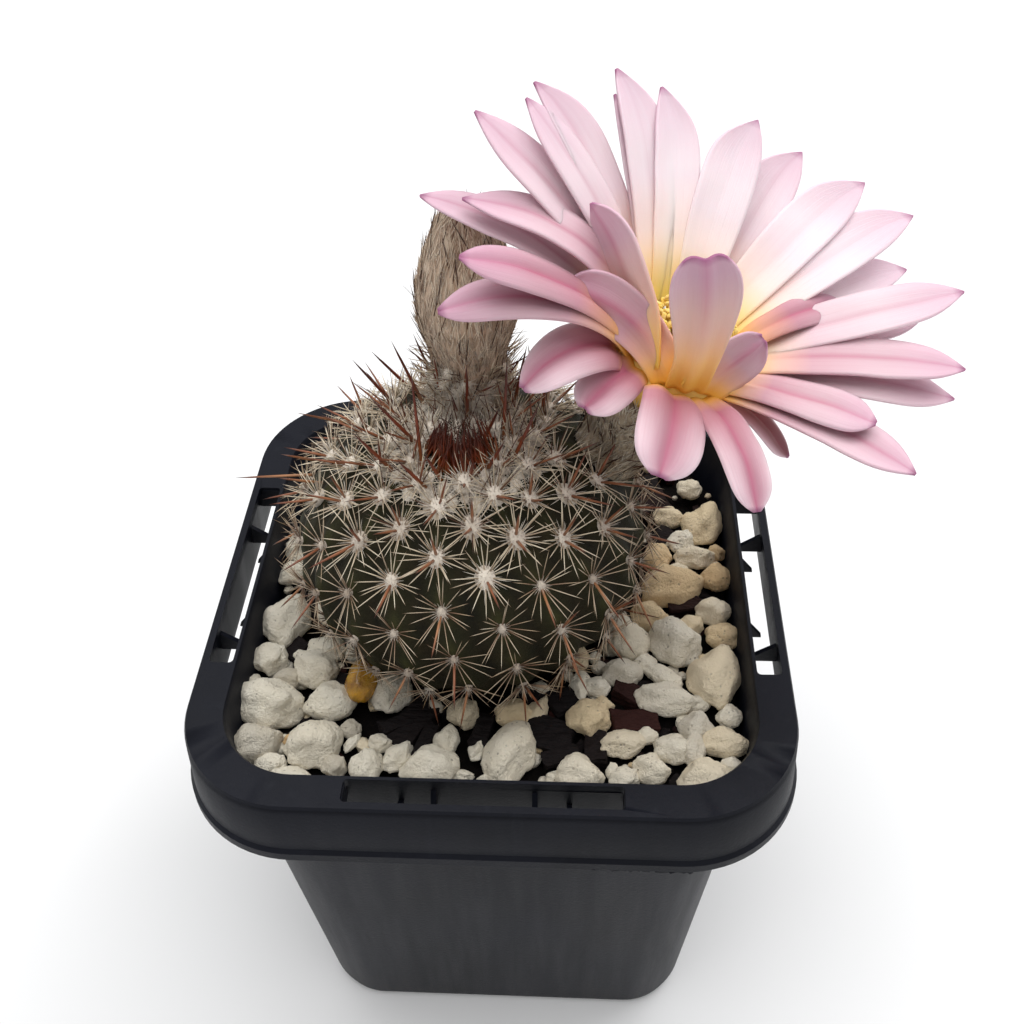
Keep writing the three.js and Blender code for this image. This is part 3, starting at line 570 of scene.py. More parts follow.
def make_pot():
    pot = skin("pot", [round_square(*ring) for ring in POT_RINGS], LOOP_POINTS)
    slot = block(SLOT_SIZE, SLOT_MIDDLE)
    modify(slot, "BEVEL", width=0.5, segments=3, limit_method="ANGLE")
    slots = scatter("slots", quarter_turns([slot]))
    drains = []
    for x in (-DRAIN_OFFSET, DRAIN_OFFSET):
        for y in (-DRAIN_OFFSET, DRAIN_OFFSET):
            bpy.ops.mesh.primitive_cylinder_add(vertices=32, radius=DRAIN_RADIUS, depth=8, location=(x, y, 0))
            drains.append(bpy.context.object)
    drains = join("drains", drains)
    for holes in (slots, drains):
        modify(pot, "BOOLEAN", operation="DIFFERENCE", object=holes, solver="EXACT")
    modify(pot, "BEVEL", width=0.3, segments=3, limit_method="ANGLE", angle_limit=math.radians(38))
    webs = [stay(side * place, *walls) for side in (-1, 1) for place, *walls in WEBS]
    stays = scatter("stays", quarter_turns(webs))
    pot = join("pot", [pot, stays, moulding_flash()])
    drop(slot, slots, drains, *webs)
    smooth(pot, 32)
    settle(pot, "nursery_pot", pot_finish(), "pot_plastic", "pot")


# What the pot holds
SOIL_TOP, BED_TOP = 57.6, 59.2
SOIL_SPREAD, SOIL_CELLS = 64, 90
FILLING_FOOT, FILLING_HEAD, FILLING_GAP = 1.8, 62, 0.3


def inner_wall(height, inset):
    rise = (height - INNER_FOOT[2]) / (INNER_RIM[2] - INNER_FOOT[2])
    half = INNER_FOOT[0] + (INNER_RIM[0] - INNER_FOOT[0]) * rise - inset
    corner = INNER_FOOT[1] + (INNER_RIM[1] - INNER_FOOT[1]) * rise - inset
    return round_square(half, corner, height)


def make_soil():
    """Crumbly soil that fills the pot, its top uneven."""
    bpy.ops.mesh.primitive_grid_add(
        x_subdivisions=SOIL_CELLS, y_subdivisions=SOIL_CELLS, size=SOIL_SPREAD, location=(0, 0, SOIL_TOP))
    soil = bpy.context.object
    bpy.ops.object.transform_apply(location=True, rotation=True, scale=True)
    lumps(soil, 3.2, 2.2)
    lumps(soil, 0.9, 0.7)
    edit(soil)
    bpy.ops.mesh.extrude_region_move(TRANSFORM_OT_translate={"value": (0, 0, -30)})
    bpy.ops.transform.resize(value=(1, 1, 0), center_override=(0, 0, 2))
    leave()
    outward(soil)
    walls = [inner_wall(height, FILLING_GAP) for height in (FILLING_FOOT, FILLING_HEAD)]
    shape = skin("filling", walls, LOOP_POINTS)
    modify(soil, "BOOLEAN", operation="INTERSECT", object=shape, solver="EXACT")
    drop(shape)
    smooth(soil, 60)
    settle(soil, "potting_soil", soil_finish(), "potting_soil", "soil")


# Dark bark between the stones, its finish taken darker as painted shade for the shadow there: x, y, length,
# width, turn, shade
BARK = [
    (-9, -18.6, 8, 3.4, 60, 0.2), (-4.6, -15.8, 4, 3, 20, 0.1), (7, -20.5, 4, 5.5, 75, 0.1),
    (9.2, -15.4, 5, 3, 30, 0.1), (17, -18.2, 5.5, 3.4, 10, 0.9), (12.6, -22.2, 2.4, 4, 0, 0.5),
    (20.5, 19.5, 5, 4, 20, 0.6), (-23, 12, 6, 4, 40, 0.3), (-24, -1, 3, 4, 10, 0.4),
    (-7.6, -21.6, 5, 1.6, 70, 0.1), (-1.2, -20.4, 5, 2.2, 80, 0.1), (8.3, -23.6, 4, 2, 20, 0.2),
    (16.5, -14, 4, 2.4, -30, 0.8), (-11.5, -19.5, 4, 2, 30, 0.1), (24, 0.4, 4, 2, 10, 0.7),
    (-25.4, -8.4, 3.4, 2, 60, 0.3), (-18.2, -13.2, 3, 2, 0, 0.3), (5.2, -14.6, 4, 2.4, 0, 0.1),
    (21.8, 12.2, 5, 3, 60, 0.4), (18.5, 23.5, 6, 3.5, 15, 0.2),
]
BARK_THICKNESS, BARK_CRUMBS, BARK_REACH = 2.8, 150, 29
# Nothing loose lies where x and y together are larger than this, beyond the pot's round corners
CORNER_REACH = 52


def bark_shape(seed):
    bpy.ops.mesh.primitive_cube_add(size=1, enter_editmode=True)
    bpy.ops.mesh.subdivide(number_cuts=2)
    bpy.ops.transform.vertex_random(offset=0.13, seed=seed)
    leave()
    chip = bpy.context.object
    modify(chip, "BEVEL", width=0.04, segments=2, limit_method="ANGLE")
    smooth(chip, 35)
    return chip


def make_bark():
    draw = random.Random(3)
    shapes = [bark_shape(seed) for seed in (1, 5, 9)]
    places = []
    for index, (x, y, length, width, turn, shade) in enumerate(BARK):
        spot, tip = moved(x, y, SOIL_TOP + 1.1), turned(draw.uniform(-9, 9), "Y")
        where = spot @ turned(turn, "Z") @ tip @ sized(length, width, BARK_THICKNESS)
        places.append((shapes[index % 3], where, {"tint": shade}))
    for _ in range(BARK_CRUMBS):
        x, y = (draw.uniform(-BARK_REACH, BARK_REACH) for _ in range(2))
        size = draw.uniform(0.6, 1.7)
        if abs(x) + abs(y) > CORNER_REACH:
            continue
        turn, tip = draw.uniform(0, FULL_TURN), draw.uniform(-0.6, 0.6)
        where = moved(x, y, SOIL_TOP + 0.9) @ Matrix.Rotation(turn, 4, "Z") @ Matrix.Rotation(tip, 4, "X")
        where = where @ sized(size * 1.4, size, size * 0.7)
        places.append((draw.choice(shapes), where, {"tint": draw.random()}))
    bark = scatter("bark", places)
    drop(*shapes)
    settle(bark, "bark_chips", bark_finish(), "potting_soil")


# Pumice: x, y, length, width, turn of the length from +X, tint (0 grey, 0.5 white, 1 tan)
STONES = [
    (-27.5, -4, 8, 6, 80, 0.35), (-28.6, -10.6, 5, 4.5, 0, 0.45), (-25.8, -13.4, 4, 3, 20, 0.1),
    (-21.5, -8.5, 5, 4, 0, 0.45), (-22.3, -11.9, 6, 5.5, 0, 0.4), (-27, -17.6, 9, 6.5, 0, 0.5),
    (-20, -17, 6.5, 5, 10, 0.5), (-27.6, -23, 6, 5, 30, 0.15), (-25.4, -26, 4, 3, 0, 0.45),
    (-20.8, -23.4, 7, 6, 30, 0.52), (-14.2, -25.8, 4.5, 4, 90, 0.48), (-22.8, -27.6, 6, 3, 0, 0.5),
    (-10.6, -24.2, 5, 3, 60, 0.5), (-7, -25.9, 7, 5, 10, 0.52), (-5.2, -21.6, 4, 3, 90, 0.5),
    (-3.5, -18.2, 4, 4, 0, 0.66), (-12.4, -15.4, 6, 5, 70, 0.3), (26, 22.5, 3.6, 3.5, 0, 0.6),
    (27.3, 15, 8, 5.5, 80, 0.75), (26, 8.8, 6, 3.6, 10, 0.6), (28.2, 5, 4.6, 4, 0, 0.9),
    (22.6, 3.2, 8.4, 6, 20, 0.85), (21, 8.4, 5, 4, 90, 0.85), (27.5, -1, 4.6, 4, 0, 0.6),
    (28.6, -5, 4.5, 4, 0, 0.8), (19.4, -2, 5, 4.5, 0, 0.8), (22.5, -6.6, 7, 6.8, 0, 0.4),
    (16.6, -6.6, 5.4, 5, 0, 0.55), (27, -11.5, 9, 6.2, 80, 0.66), (20.5, -11.6, 6, 2.8, -35, 0.45),
    (15.6, -11.4, 5, 4, 0, 0.2), (12.6, -13.4, 3.4, 3, 0, 0.5), (21, -15.2, 8, 4.6, 0, 0.4),
    (24.4, -19.2, 5, 4, 90, 0.2), (28.2, -17.4, 3.2, 3, 0, 0.5), (27.6, -21.2, 6, 3.8, 0, 0.65),
    (11.5, -18.6, 5.4, 5, 0, 0.78), (15.4, -21.8, 5.5, 3.5, 10, 0.6), (21.4, -22.3, 4.5, 4, 0, 0.4),
    (18.8, -25.2, 4.5, 4, 0, 0.55), (28.2, -24.8, 3.4, 3, 0, 0.5), (24.6, -26.4, 6.4, 4.6, 10, 0.6),
    (10.6, -26.3, 5.5, 5, 0, 0.55), (15.6, -26.6, 3.6, 3, 0, 0.5), (2.5, -24, 9, 5.6, 70, 0.55),
    (2.6, -17.8, 4.5, 4, 10, 0.78), (5.4, -17.2, 5, 2.4, 70, 0.7), (29, 10, 2.5, 2.4, 0, 0.85),
    (10.5, -13.5, 5, 2.5, 85, 0.5), (23.6, -22, 5, 3.4, 90, 0.2), (14.4, -25.4, 2.5, 1.6, 80, 0.5),
    (5.5, -14, 2.6, 2.2, 0, 0.4), (8, -26.6, 2.6, 2.2, 0, 0.5), (-1.5, -23, 3, 2, 80, 0.5),
    (-3, -26.4, 3, 1.4, 0, 0.5), (-17, -20.5, 2.8, 2.4, 0, 0.1), (-16.4, -22.2, 3, 1.3, 60, 0.5),
    (-18, -26, 3, 3, 0, 0.15), (-23.4, -22.3, 2.6, 2, 0, 0.95), (-30, -14, 2.6, 2.6, 0, 0.45),
    (-7, -16.8, 2.6, 2.2, 0, 0.2), (-24.5, -9.6, 2.6, 2.2, 30, 0.45), (18.4, -9.4, 3.2, 2.4, 0, 0.5),
    (25, -15.4, 3, 2.2, 20, 0.4), (24.6, -3.2, 3.4, 2.8, 0, 0.7), (23.4, 6.4, 3, 2.4, 0, 0.6),
    (24.2, 11.8, 4.4, 3.6, 40, 0.5), (22.8, 16.6, 4.6, 3.6, 0, 0.7), (-13, -22.4, 3, 2.4, 0, 0.4),
    (18.2, -20.4, 3, 2.2, 0, 0.5), (13.4, -16, 2.6, 2.2, 0, 0.75), (0.3, -27.2, 3.2, 2, 0, 0.4),
]
STONE_SWELL, STONE_FLATNESS, STONE_LIFT = 1.08, 0.9, 0.2
# Smaller stones between them: a loose grid, and the room it leaves to the rows above and the plant
GRID_ROWS, GRID_COLUMNS, GRID_CORNER, GRID_STEP, GRID_PLAY = 7, 10, (-27.5, -8), (6.1, 6), 1.2
GRID_REACH, STONE_ROOM, PLANT_ROOM = 28.6, 4.4, 13.5
STONE_CRUMBS, CRUMB_REACH, CRUMB_ROOM, CRUMB_SINK = 260, 28.8, 12, 0.7
# Fertiliser bead: x, y, length, width, height, turn of the length from +X
PRILL = (-15.9, -14.4, 6.4, 4.2, 4.4, 78)


def pumice_shape(seed):
    """A worn lump with up to four flat sides and a rough skin, about two across."""
    draw = random.Random(seed)
    stone = rough_ball(0.1, seed, uniform=1.0, normal=0.0)
    for _ in range(4):
        facing = Vector([draw.uniform(-1, 1) for _ in range(3)]).normalized()
        cut = facing * draw.uniform(0.66, 0.86)
        bpy.ops.mesh.select_all(action="SELECT")
        bpy.ops.mesh.bisect(plane_co=cut, plane_no=facing, use_fill=True, clear_outer=True)
    leave()
    modify(stone, "REMESH", mode="VOXEL", voxel_size=0.14, use_smooth_shade=True)
    modify(stone, "SMOOTH", factor=0.6, iterations=3)
    lumps(stone, 0.8, 0.36)
    lumps(stone, 0.35, 0.1)
    smooth(stone)
    return stone


def crumb_shape():
    crumb = rough_ball(0.22, 3)
    leave()
    smooth(crumb, 40)
    return crumb


def stone_at(shape, x, y, length, width, turn, tint, height):
    length, width = STONE_SWELL * length, STONE_SWELL * width
    high = STONE_FLATNESS * min(length, width)
    spot = moved(x, y, BED_TOP + STONE_LIFT * high + height)
    return shape, spot @ turned(turn, "Z") @ sized(length / 2, width / 2, high / 2), {"tint": tint}


def make_pumice():
    draw = random.Random(11)
    shapes = [pumice_shape(seed) for seed in (2, 4, 7, 12, 17, 23, 31)]
    crumb = crumb_shape()
    places = [stone_at(shapes[index % 7], *row, 0) for index, row in enumerate(STONES)]
    for row in range(GRID_ROWS):
        for column in range(GRID_COLUMNS):
            x = GRID_CORNER[0] + GRID_STEP[0] * column + draw.uniform(-GRID_PLAY, GRID_PLAY)
            y = GRID_CORNER[1] + GRID_STEP[1] * row + draw.uniform(-GRID_PLAY, GRID_PLAY)
            size = draw.uniform(4.2, 7.2)
            beside = any(math.hypot(x - s[0], y - s[1]) < STONE_ROOM for s in STONES)
            outside = max(abs(x), abs(y)) > GRID_REACH or abs(x) + abs(y) > CORNER_REACH
            if beside or outside or from_plant(x, y) < PLANT_ROOM:
                continue
            shape = (size, size * draw.uniform(0.65, 0.9), draw.uniform(0, 180), draw.uniform(0.3, 0.85))
            places.append(stone_at(draw.choice(shapes), x, y, *shape, 0))
    for _ in range(STONE_CRUMBS):
        x, y = (draw.uniform(-CRUMB_REACH, CRUMB_REACH) for _ in range(2))
        size = draw.uniform(0.8, 2.3)
        if from_plant(x, y) < CRUMB_ROOM or abs(x) + abs(y) > CORNER_REACH + 1:
            continue
        turn, tint = draw.uniform(0, 180), draw.uniform(0.2, 0.9)
        places.append(stone_at(crumb, x, y, size, size * 0.8, turn, tint, -CRUMB_SINK))
    stones = scatter("stones", places)
    drop(crumb, *shapes)
    settle(stones, "pumice_stones", pumice_finish(), "pumice_stone", "pumice")


def make_prill():
    x, y, length, width, high, turn = PRILL
    bpy.ops.mesh.primitive_ico_sphere_add(subdivisions=4, radius=1)
    prill = bpy.context.object
    lumps(prill, 0.7, 0.22)
    lumps(prill, 0.25, 0.08)
    spot = moved(x, y, BED_TOP + high / 2)
    prill.data.transform(spot @ turned(turn, "Z") @ sized(length / 2, width / 2, high / 2))
    smooth(prill)
    settle(prill, "fertiliser_bead", prill_finish(), "prill_coating", "fertiliser_prill")


# Globe: its middle and size, its ribs, and how the spiny spots follow one another along a rib
GLOBE = Vector((-3, -1, 74))
GLOBE_RADIUS, GLOBE_RISE = 20.9, 16.5
RIBS = 21
RIB_PHASE, RIB_TWIST = 8 / 21, 3.5
RIB_STEP, RIB_AZIMUTH = 3.75, -6.2
LAST_STEP = 8.3
STEP_LENGTH, CROWDING = 6.2, 2.2
# Neck below the globe: angle from the crown, radius and height
NECK = [(132, 15.9, 63), (142, 13.6, 60.6), (152, 13, 57), (180, 0, 50)]
COLUMNS, SPHERE_RINGS = 4 * RIBS, 46
# How far the skin is pulled out or in, and where a rib is notched: from which step on, and between
# which parts of the way from one spiny spot to the next
VALLEY, RIDGE, NOTCH, KNOB = 0.935, 1.004, 0.975, 1.012
FIRST_NOTCH, NOTCH_START, NOTCH_END = 1.5, 0.32, 0.68


def from_plant(x, y):
    return math.hypot(x - GLOBE.x, y - GLOBE.y)


def meridian(angle):
    if angle <= NECK[0][0]:
        turn = math.radians(angle)
        return GLOBE_RADIUS * math.sin(turn), GLOBE.z + GLOBE_RISE * math.cos(turn)
    for low, high in zip(NECK, NECK[1:]):
        if angle <= high[0]:
            part = (angle - low[0]) / (high[0] - low[0])
            return low[1] + (high[1] - low[1]) * part, low[2] + (high[2] - low[2]) * part
    return 0, NECK[-1][2]


def globe_normal(angle, azimuth):
    turn, side = math.radians(min(angle, NECK[0][0])), math.radians(azimuth)
    slope = math.sin(turn) / GLOBE_RADIUS
    return Vector((math.sin(side) * slope, -math.cos(side) * slope, math.cos(turn) / GLOBE_RISE)).normalized()


def globe_point(angle, azimuth, lift=0.0):
    radius, height = meridian(angle)
    side = math.radians(azimuth)
    spot = Vector((GLOBE.x + radius * math.sin(side), GLOBE.y - radius * math.cos(side), height))
    return spot + globe_normal(angle, azimuth) * lift


def walk_table():
    """Distance along the skin from the crown, every quarter of a degree."""
    walked, table = 0.0, [0.0]
    for index in range(720):
        turn = math.radians(index / 4)
        walked += math.radians(0.25) * math.hypot(GLOBE_RADIUS * math.cos(turn), GLOBE_RISE * math.sin(turn))
        table.append(walked)
    return table


WALK = walk_table()


def angle_at(distance):
    return next((index / 4 for index, walked in enumerate(WALK) if walked >= distance), 180)


def step_distance(step):
    return STEP_LENGTH * (math.sqrt(step * step + CROWDING * CROWDING) - CROWDING)


def step_at(angle):
    return math.sqrt(max((WALK[round(angle * 4)] / STEP_LENGTH + CROWDING) ** 2 - CROWDING * CROWDING, 0))


def phase(rib):
    return (RIB_STEP + rib * RIB_PHASE) % 1


def resize_ring(size):
    bpy.ops.transform.resize(value=(size, size, 1), center_override=GLOBE)


def rings_and_columns(body):
    """The ball's vertices by their ring from the crown and by their column round it."""
    by_ring, by_column = {}, {}
    for vertex in body.data.vertices:
        ring = round(math.degrees(math.acos(held(vertex.co.z, -1))) / (180 / SPHERE_RINGS))
        by_ring.setdefault(ring, set()).add(vertex.index)
        if 0 < ring < SPHERE_RINGS:
            turn = math.degrees(math.atan2(vertex.co.y, vertex.co.x)) % 360
            by_column.setdefault(round(turn / (360 / COLUMNS)) % COLUMNS, set()).add(vertex.index)
    return by_ring, by_column


def shape_ring(body, vertices, angle, step):
    """Turns a ring by the ribs' twist, and below the globe brings it to the neck."""
    radius, height = meridian(angle)
    pick(body, vertices)
    bpy.ops.transform.rotate(value=-math.radians(RIB_TWIST * step), orient_axis="Z", center_override=GLOBE)
    if angle > NECK[0][0]:
        resize_ring(radius / (GLOBE_RADIUS * math.sin(math.radians(angle))))
        lift = height - GLOBE.z - GLOBE_RISE * math.cos(math.radians(angle))
        bpy.ops.transform.translate(value=(0, 0, lift))
    leave()


def make_body():
    """A ball pulled into ribs, each rib notched into bumps between its spiny spots."""
    bpy.ops.mesh.primitive_uv_sphere_add(segments=COLUMNS, ring_count=SPHERE_RINGS, radius=1)
    body = bpy.context.object
    by_ring, by_column = rings_and_columns(body)
    edit(body)
    bpy.ops.transform.resize(value=(GLOBE_RADIUS, GLOBE_RADIUS, GLOBE_RISE), center_override=(0, 0, 0))
    bpy.ops.transform.translate(value=GLOBE)
    bpy.ops.transform.rotate(value=-math.radians(RIB_AZIMUTH - 90), orient_axis="Z", center_override=GLOBE)
    leave()
    ridge = set().union(*(by_column[column] for column in range(0, COLUMNS, 4)))
    valley = set().union(*(by_column[column] for column in range(2, COLUMNS, 4)))
    knob, notch = set(), set()
    for ring, vertices in by_ring.items():
        angle = ring * 180 / SPHERE_RINGS
        step = step_at(min(angle, 179))
        for rib in range(RIBS if step > FIRST_NOTCH else 0):
            between = NOTCH_START < (step - phase(rib)) % 1 < NOTCH_END
            (notch if between else knob).update(by_column[4 * rib] & vertices)
        if 0 < ring < SPHERE_RINGS:
            shape_ring(body, vertices, angle, step)
    for vertices, size in ((valley, VALLEY), (ridge, RIDGE), (notch, NOTCH), (knob, KNOB)):
        pick(body, vertices)
        resize_ring(size)
        leave()
    # Painted shade for the skin's finish: 1 on the knobs, less in the notches and least in the valleys, so
    # the grooves come out darker.
    layer = body.data.attributes.new("ridge", "FLOAT", "POINT")
    groove_shade = [1.0 if v in knob else 0.7 if v in notch else 0.0 if v in valley else 0.4
               for v in range(len(body.data.vertices))]
    layer.data.foreach_set("value", groove_shade)
    soften(body)
    lumps(body, 1.4, 0.25)
    smooth(body)
    settle(body, "cactus_body", skin_finish(), "cactus_skin", "cactus")


# One spine: a unit long, standing up, a unit in radius at its root
SPINE_TAPER = ((0.4, 0.85), (0.35, 0.7), (0.25, 0.1))
FIBRE_TAPER = ((0.6, 0.75), (0.4, 0.1))


def spine_shape(sides, curl, taper=SPINE_TAPER):
    bpy.ops.mesh.primitive_circle_add(vertices=sides, radius=1, enter_editmode=True)
    bpy.ops.mesh.select_all(action="SELECT")
    height = 0
    for rise, narrow in taper:
        height += rise
        bpy.ops.mesh.extrude_region_move(TRANSFORM_OT_translate={"value": (0, 0, rise)})
        bpy.ops.transform.resize(value=(narrow, narrow, 1), center_override=(0, 0, height))
    bpy.ops.mesh.select_all(action="SELECT")
    bpy.ops.mesh.fill_holes(sides=0)
    bpy.ops.mesh.normals_make_consistent(inside=False)
    leave()
    spine = bpy.context.object
    mark(spine, "along", lambda spot: held(spot.z))
    bend(spine, "X", curl)
    smooth(spine)
    return spine


def leaning(turn, tilt, root, thick, length):
    """Where a spine goes that leans outward from the middle of its spot."""
    return turned(turn, "Z") @ moved(0, root, 0.1) @ turned(-tilt, "X") @ sized(thick, thick, length)


def standing(point, normal, upward):
    """A frame at the point, with its Z along the normal and its Y on the side of upward."""
    up = (upward - normal * upward.dot(normal)).normalized()
    turn = Matrix((up.cross(normal), up, normal)).transposed()
    return Matrix.Translation(point) @ turn.to_4x4()


BUD_ANGLE, BUD_AZIMUTH = 17, 180
TUBE_ANGLE, TUBE_AZIMUTH = 50, 100
FOOT_ROOM = 6.2
CROWN_SPOT, CROWN_ROOM = (-3.3, -4.0), 4.6
TUFT_HAIRS = 34
# Turns of a spot's central spines, in degrees from the crown's side
LOW_PRONGS, HIGH_PRONGS = ((180,), (150,), (180, 30)), ((180, 20), (200,), (150, -40))
# A spot is near the crown below this step and low on the globe beyond this angle, each within a band
NEAR_STEP, NEAR_BAND, LOW_ANGLE, LOW_BAND, LOWEST_ANGLE = 4.4, 3.2, 52, 14, 82
# Colours of the spines from root to tip, at each end of their range
STRAW = (
    [(0.0, "#54291b"), (0.35, "#7d563d"), (0.7, "#b39a78"), (1.0, "#593722")],
    [(0.0, "#a88a6c"), (0.25, "#e3d5b9"), (0.75, "#f0e6d0"), (1.0, "#a07c5c")])
BROWN = (
    [(0.0, "#7d4c34"), (0.35, "#8f5436"), (0.75, "#63301e"), (1.0, "#2e140c")],
    [(0.0, "#a4744f"), (0.35, "#b07c55"), (0.75, "#7c4a30"), (1.0, "#3d2013")])
DARK = (
    [(0.0, "#5b3a28"), (0.4, "#3a2219"), (1.0, "#1d100c")],
    [(0.0, "#8b5b3c"), (0.4, "#6d3d26"), (1.0, "#2b1610")])
RED = (
    [(0.0, "#a5632f"), (0.25, "#7d3014"), (0.6, "#4e170c"), (1.0, "#1c0806")],
    [(0.0, "#c88a4c"), (0.3, "#9c4a20"), (0.7, "#6b2612"), (1.0, "#2a0e09")])
BRISTLE = (
    [(0.0, "#4a3222"), (0.4, "#2e1c14"), (1.0, "#1b100c")],
    [(0.0, "#7b5335"), (0.4, "#553322"), (1.0, "#2b1911")])


def spiny_spots():
    """Every spiny spot of the globe: its frame, its step along the rib and its angle from the crown."""
    feet = [globe_point(BUD_ANGLE, BUD_AZIMUTH), globe_point(TUBE_ANGLE, TUBE_AZIMUTH)]
    spots = []
    for rib in range(RIBS):
        step = phase(rib) + 1
        while step < LAST_STEP:
            angle = angle_at(step_distance(step))
            azimuth = RIB_AZIMUTH + rib * 360 / RIBS + RIB_TWIST * step
            point = globe_point(angle, azimuth, 0.35)
            in_crown = math.hypot(point.x - CROWN_SPOT[0], point.y - CROWN_SPOT[1]) < CROWN_ROOM
            if not in_crown and all((foot - point).length > FOOT_ROOM for foot in feet):
                where = standing(point, globe_normal(angle, azimuth), Vector((0, 0, 1)))
                spots.append((where, step, angle))
            step += 1
    return spots


def star_of(draw, shape, count, lengths, tilts, thick, tints):
    rays = []
    for ray in range(count):
        turn = ray * 360 / count + draw.uniform(-9, 9)
        where = leaning(turn, draw.uniform(*tilts), 0.6, thick, draw.uniform(*lengths))
        rays.append((shape, where, {"tint": draw.uniform(*tints)}))
    return scatter("star", rays)


def prong_of(draw, shape, turns, lengths, tilts):
    rays = []
    for turn in turns:
        turn += draw.uniform(-25, 25)
        where = leaning(turn, draw.uniform(*tilts), 0.25, 0.18, draw.uniform(*lengths))
        rays.append((shape, where, {"tint": draw.random()}))
    return scatter("prong", rays)


def wool_tuft(draw, fibre, spread, length):
    """A pad of wool with loose hairs."""
    bpy.ops.mesh.primitive_ico_sphere_add(subdivisions=2, radius=1)
    pad = bpy.context.object
    pad.data.transform(sized(0.8 * spread, 0.95 * spread, 0.5))
    lumps(pad, 0.4, 0.45)
    smooth(pad)
    hairs = [(pad, Matrix.Identity(4), {})]
    for hair in range(TUFT_HAIRS):
        tilt = 84 * math.sqrt((hair + 0.5) / TUFT_HAIRS) + draw.uniform(-8, 8)
        long = length * draw.uniform(0.7, 1.25)
        where = leaning(hair * GOLDEN_TURN, tilt, 0.5 * spread * tilt / 90, 0.05, long)
        hairs.append((fibre, where, {}))
    tuft = scatter("tuft", hairs)
    drop(pad)
    return tuft


def make_spines():
    """Radial spines, central spines and wool on every spiny spot, then the crown."""
    draw = random.Random(5)
    thin, stout = spine_shape(4, 14), spine_shape(5, 8)
    fibre = spine_shape(3, 16, FIBRE_TAPER)
    # Lower stars get darker tints: partly the spines' own darker colour there and partly painted shade for
    # the globe's shaded underside.
    low_stars = [star_of(draw, thin, 15, (3.4, 5.0), (56, 78), 0.065, (0.0, 0.5)) for _ in range(5)]
    mid_stars = [star_of(draw, thin, 17, (3.4, 5.0), (52, 78), 0.07, (0.1, 0.75)) for _ in range(5)]
    high_stars = [star_of(draw, thin, 20, (3.2, 4.8), (46, 76), 0.078, (0.4, 1.0)) for _ in range(5)]
    dark_rays = [star_of(draw, thin, 4, (2.8, 4.6), (20, 60), 0.07, (0.0, 1.0)) for _ in range(4)]
    crown_stars = [star_of(draw, thin, 11, (2.4, 3.6), (30, 70), 0.07, (0.6, 1.0)) for _ in range(3)]
    low_prongs = [prong_of(draw, stout, turns, (4.4, 6.6), (24, 55)) for turns in LOW_PRONGS]
    high_prongs = [prong_of(draw, stout, turns, (4.6, 7.0), (14, 42)) for turns in HIGH_PRONGS]
    low_tufts = [wool_tuft(draw, fibre, 0.75, 1.1) for _ in range(4)]
    high_tufts = [wool_tuft(draw, fibre, 1.25, 1.7) for _ in range(4)]
    radials, centrals, wool, dark = [], [], [], []
    for where, step, angle in spiny_spots():
        near = held((NEAR_STEP - step) / NEAR_BAND)
        low = held((angle - LOW_ANGLE) / LOW_BAND)
        high = low < 0.6
        where = where @ turned(draw.uniform(-12, 12), "Z")
        size = (1 - 0.16 * near) * (1 - 0.1 * low) * draw.uniform(0.92, 1.08)
        spread = sized(size, size, size * (1 + 0.7 * near))
        lower_stars = mid_stars if angle < LOWEST_ANGLE else low_stars
        stars = crown_stars if near > 0.5 else high_stars if high else lower_stars
        radials.append((draw.choice(stars), where @ spread, {}))
        if near < 0.75 and draw.random() < (0.85 if high else 0.65):
            prong = draw.choice(high_prongs if high else low_prongs)
            centrals.append((prong, where @ Matrix.Scale(size, 4), {}))
        if near > 0.12:
            dark.append((draw.choice(dark_rays), where @ spread, {}))
        woolly = (1.05 + 0.2 * near - 0.2 * low) * draw.uniform(0.88, 1.12)
        # The wool's tint falls on lower spots: partly their duller wool and partly painted shade for the
        # globe's shaded underside.
        tint = 0.9 - 0.35 * low - draw.uniform(0, 0.35)
        tuft = draw.choice(high_tufts if high else low_tufts)
        wool.append((tuft, where @ Matrix.Scale(woolly, 4), {"tint": tint}))
    red, crown_wool, crown_dark, straw = crown(draw, thin, stout, high_tufts)
    for root, tip in SIDE_SPINES:
        centrals.append((stout, reaching(Vector(root), Vector(tip), 0.2), {"tint": 0.9}))
    settle_spines("radials", radials + straw, "radial_spines", "straw spines", STRAW)
    settle_spines("centrals", centrals, "central_spines", "brown spines", BROWN)
    pale = wool_finish("areole wool", "#8c7663", "#f3ebdd")
    settle(scatter("wool", wool + crown_wool), "areole_wool", pale, "cactus_skin")
    settle_spines("dark spines", dark + crown_dark, "dark_spines", "dark spines", DARK)
    settle_spines("crown", red, "crown_spines", "red spines", RED)
    drop(thin, stout, fibre, *low_stars, *mid_stars, *high_stars, *crown_stars, *dark_rays)
    drop(*low_prongs, *high_prongs, *low_tufts, *high_tufts)


def settle_spines(name, places, piece, material, colours):
    settle(scatter(name, places), piece, spine_finish(material, *colours), "cactus_skin")


# Long spines whose places show: x and y of the root on the crown, then the tip
CROWN_SPINES = [
    (-7.4, -6.8, -8.4, -1.7, 99.4), (-8.4, 4.5, -10.6, 0.7, 101), (-6.6, 6.5, -8.8, 4.6, 99.2),
    (-5.6, 4.9, -5.9, 5.2, 98.7), (-2.9, 0.7, -2.5, -0.1, 98.4), (1.4, -3, 1.9, 0.6, 99.4),
    (2.2, 4.6, 3.9, 3.5, 98.6), (-8, -3.6, -12.6, -4.7, 97.6), (2.4, -6, 5.7, -5.1, 97.8),
    (-6.7, -9.4, -9.2, -10.9, 94.1), (-0.6, -2.3, 1.1, -3.1, 95), (-10.8, -6.4, -14.2, -8.3, 95.7),
    (-5.1, -8.6, -6.3, -10.7, 94.8), (-0.2, -7.2, 2, -8.5, 95), (-2, -8.3, -1.2, -10.6, 93.8),
    (-12, 6, -16, 4.4, 95.7), (-10, 9, -14.5, 8.3, 94), (5.5, 3.5, 6.2, 3.1, 96.6),
]
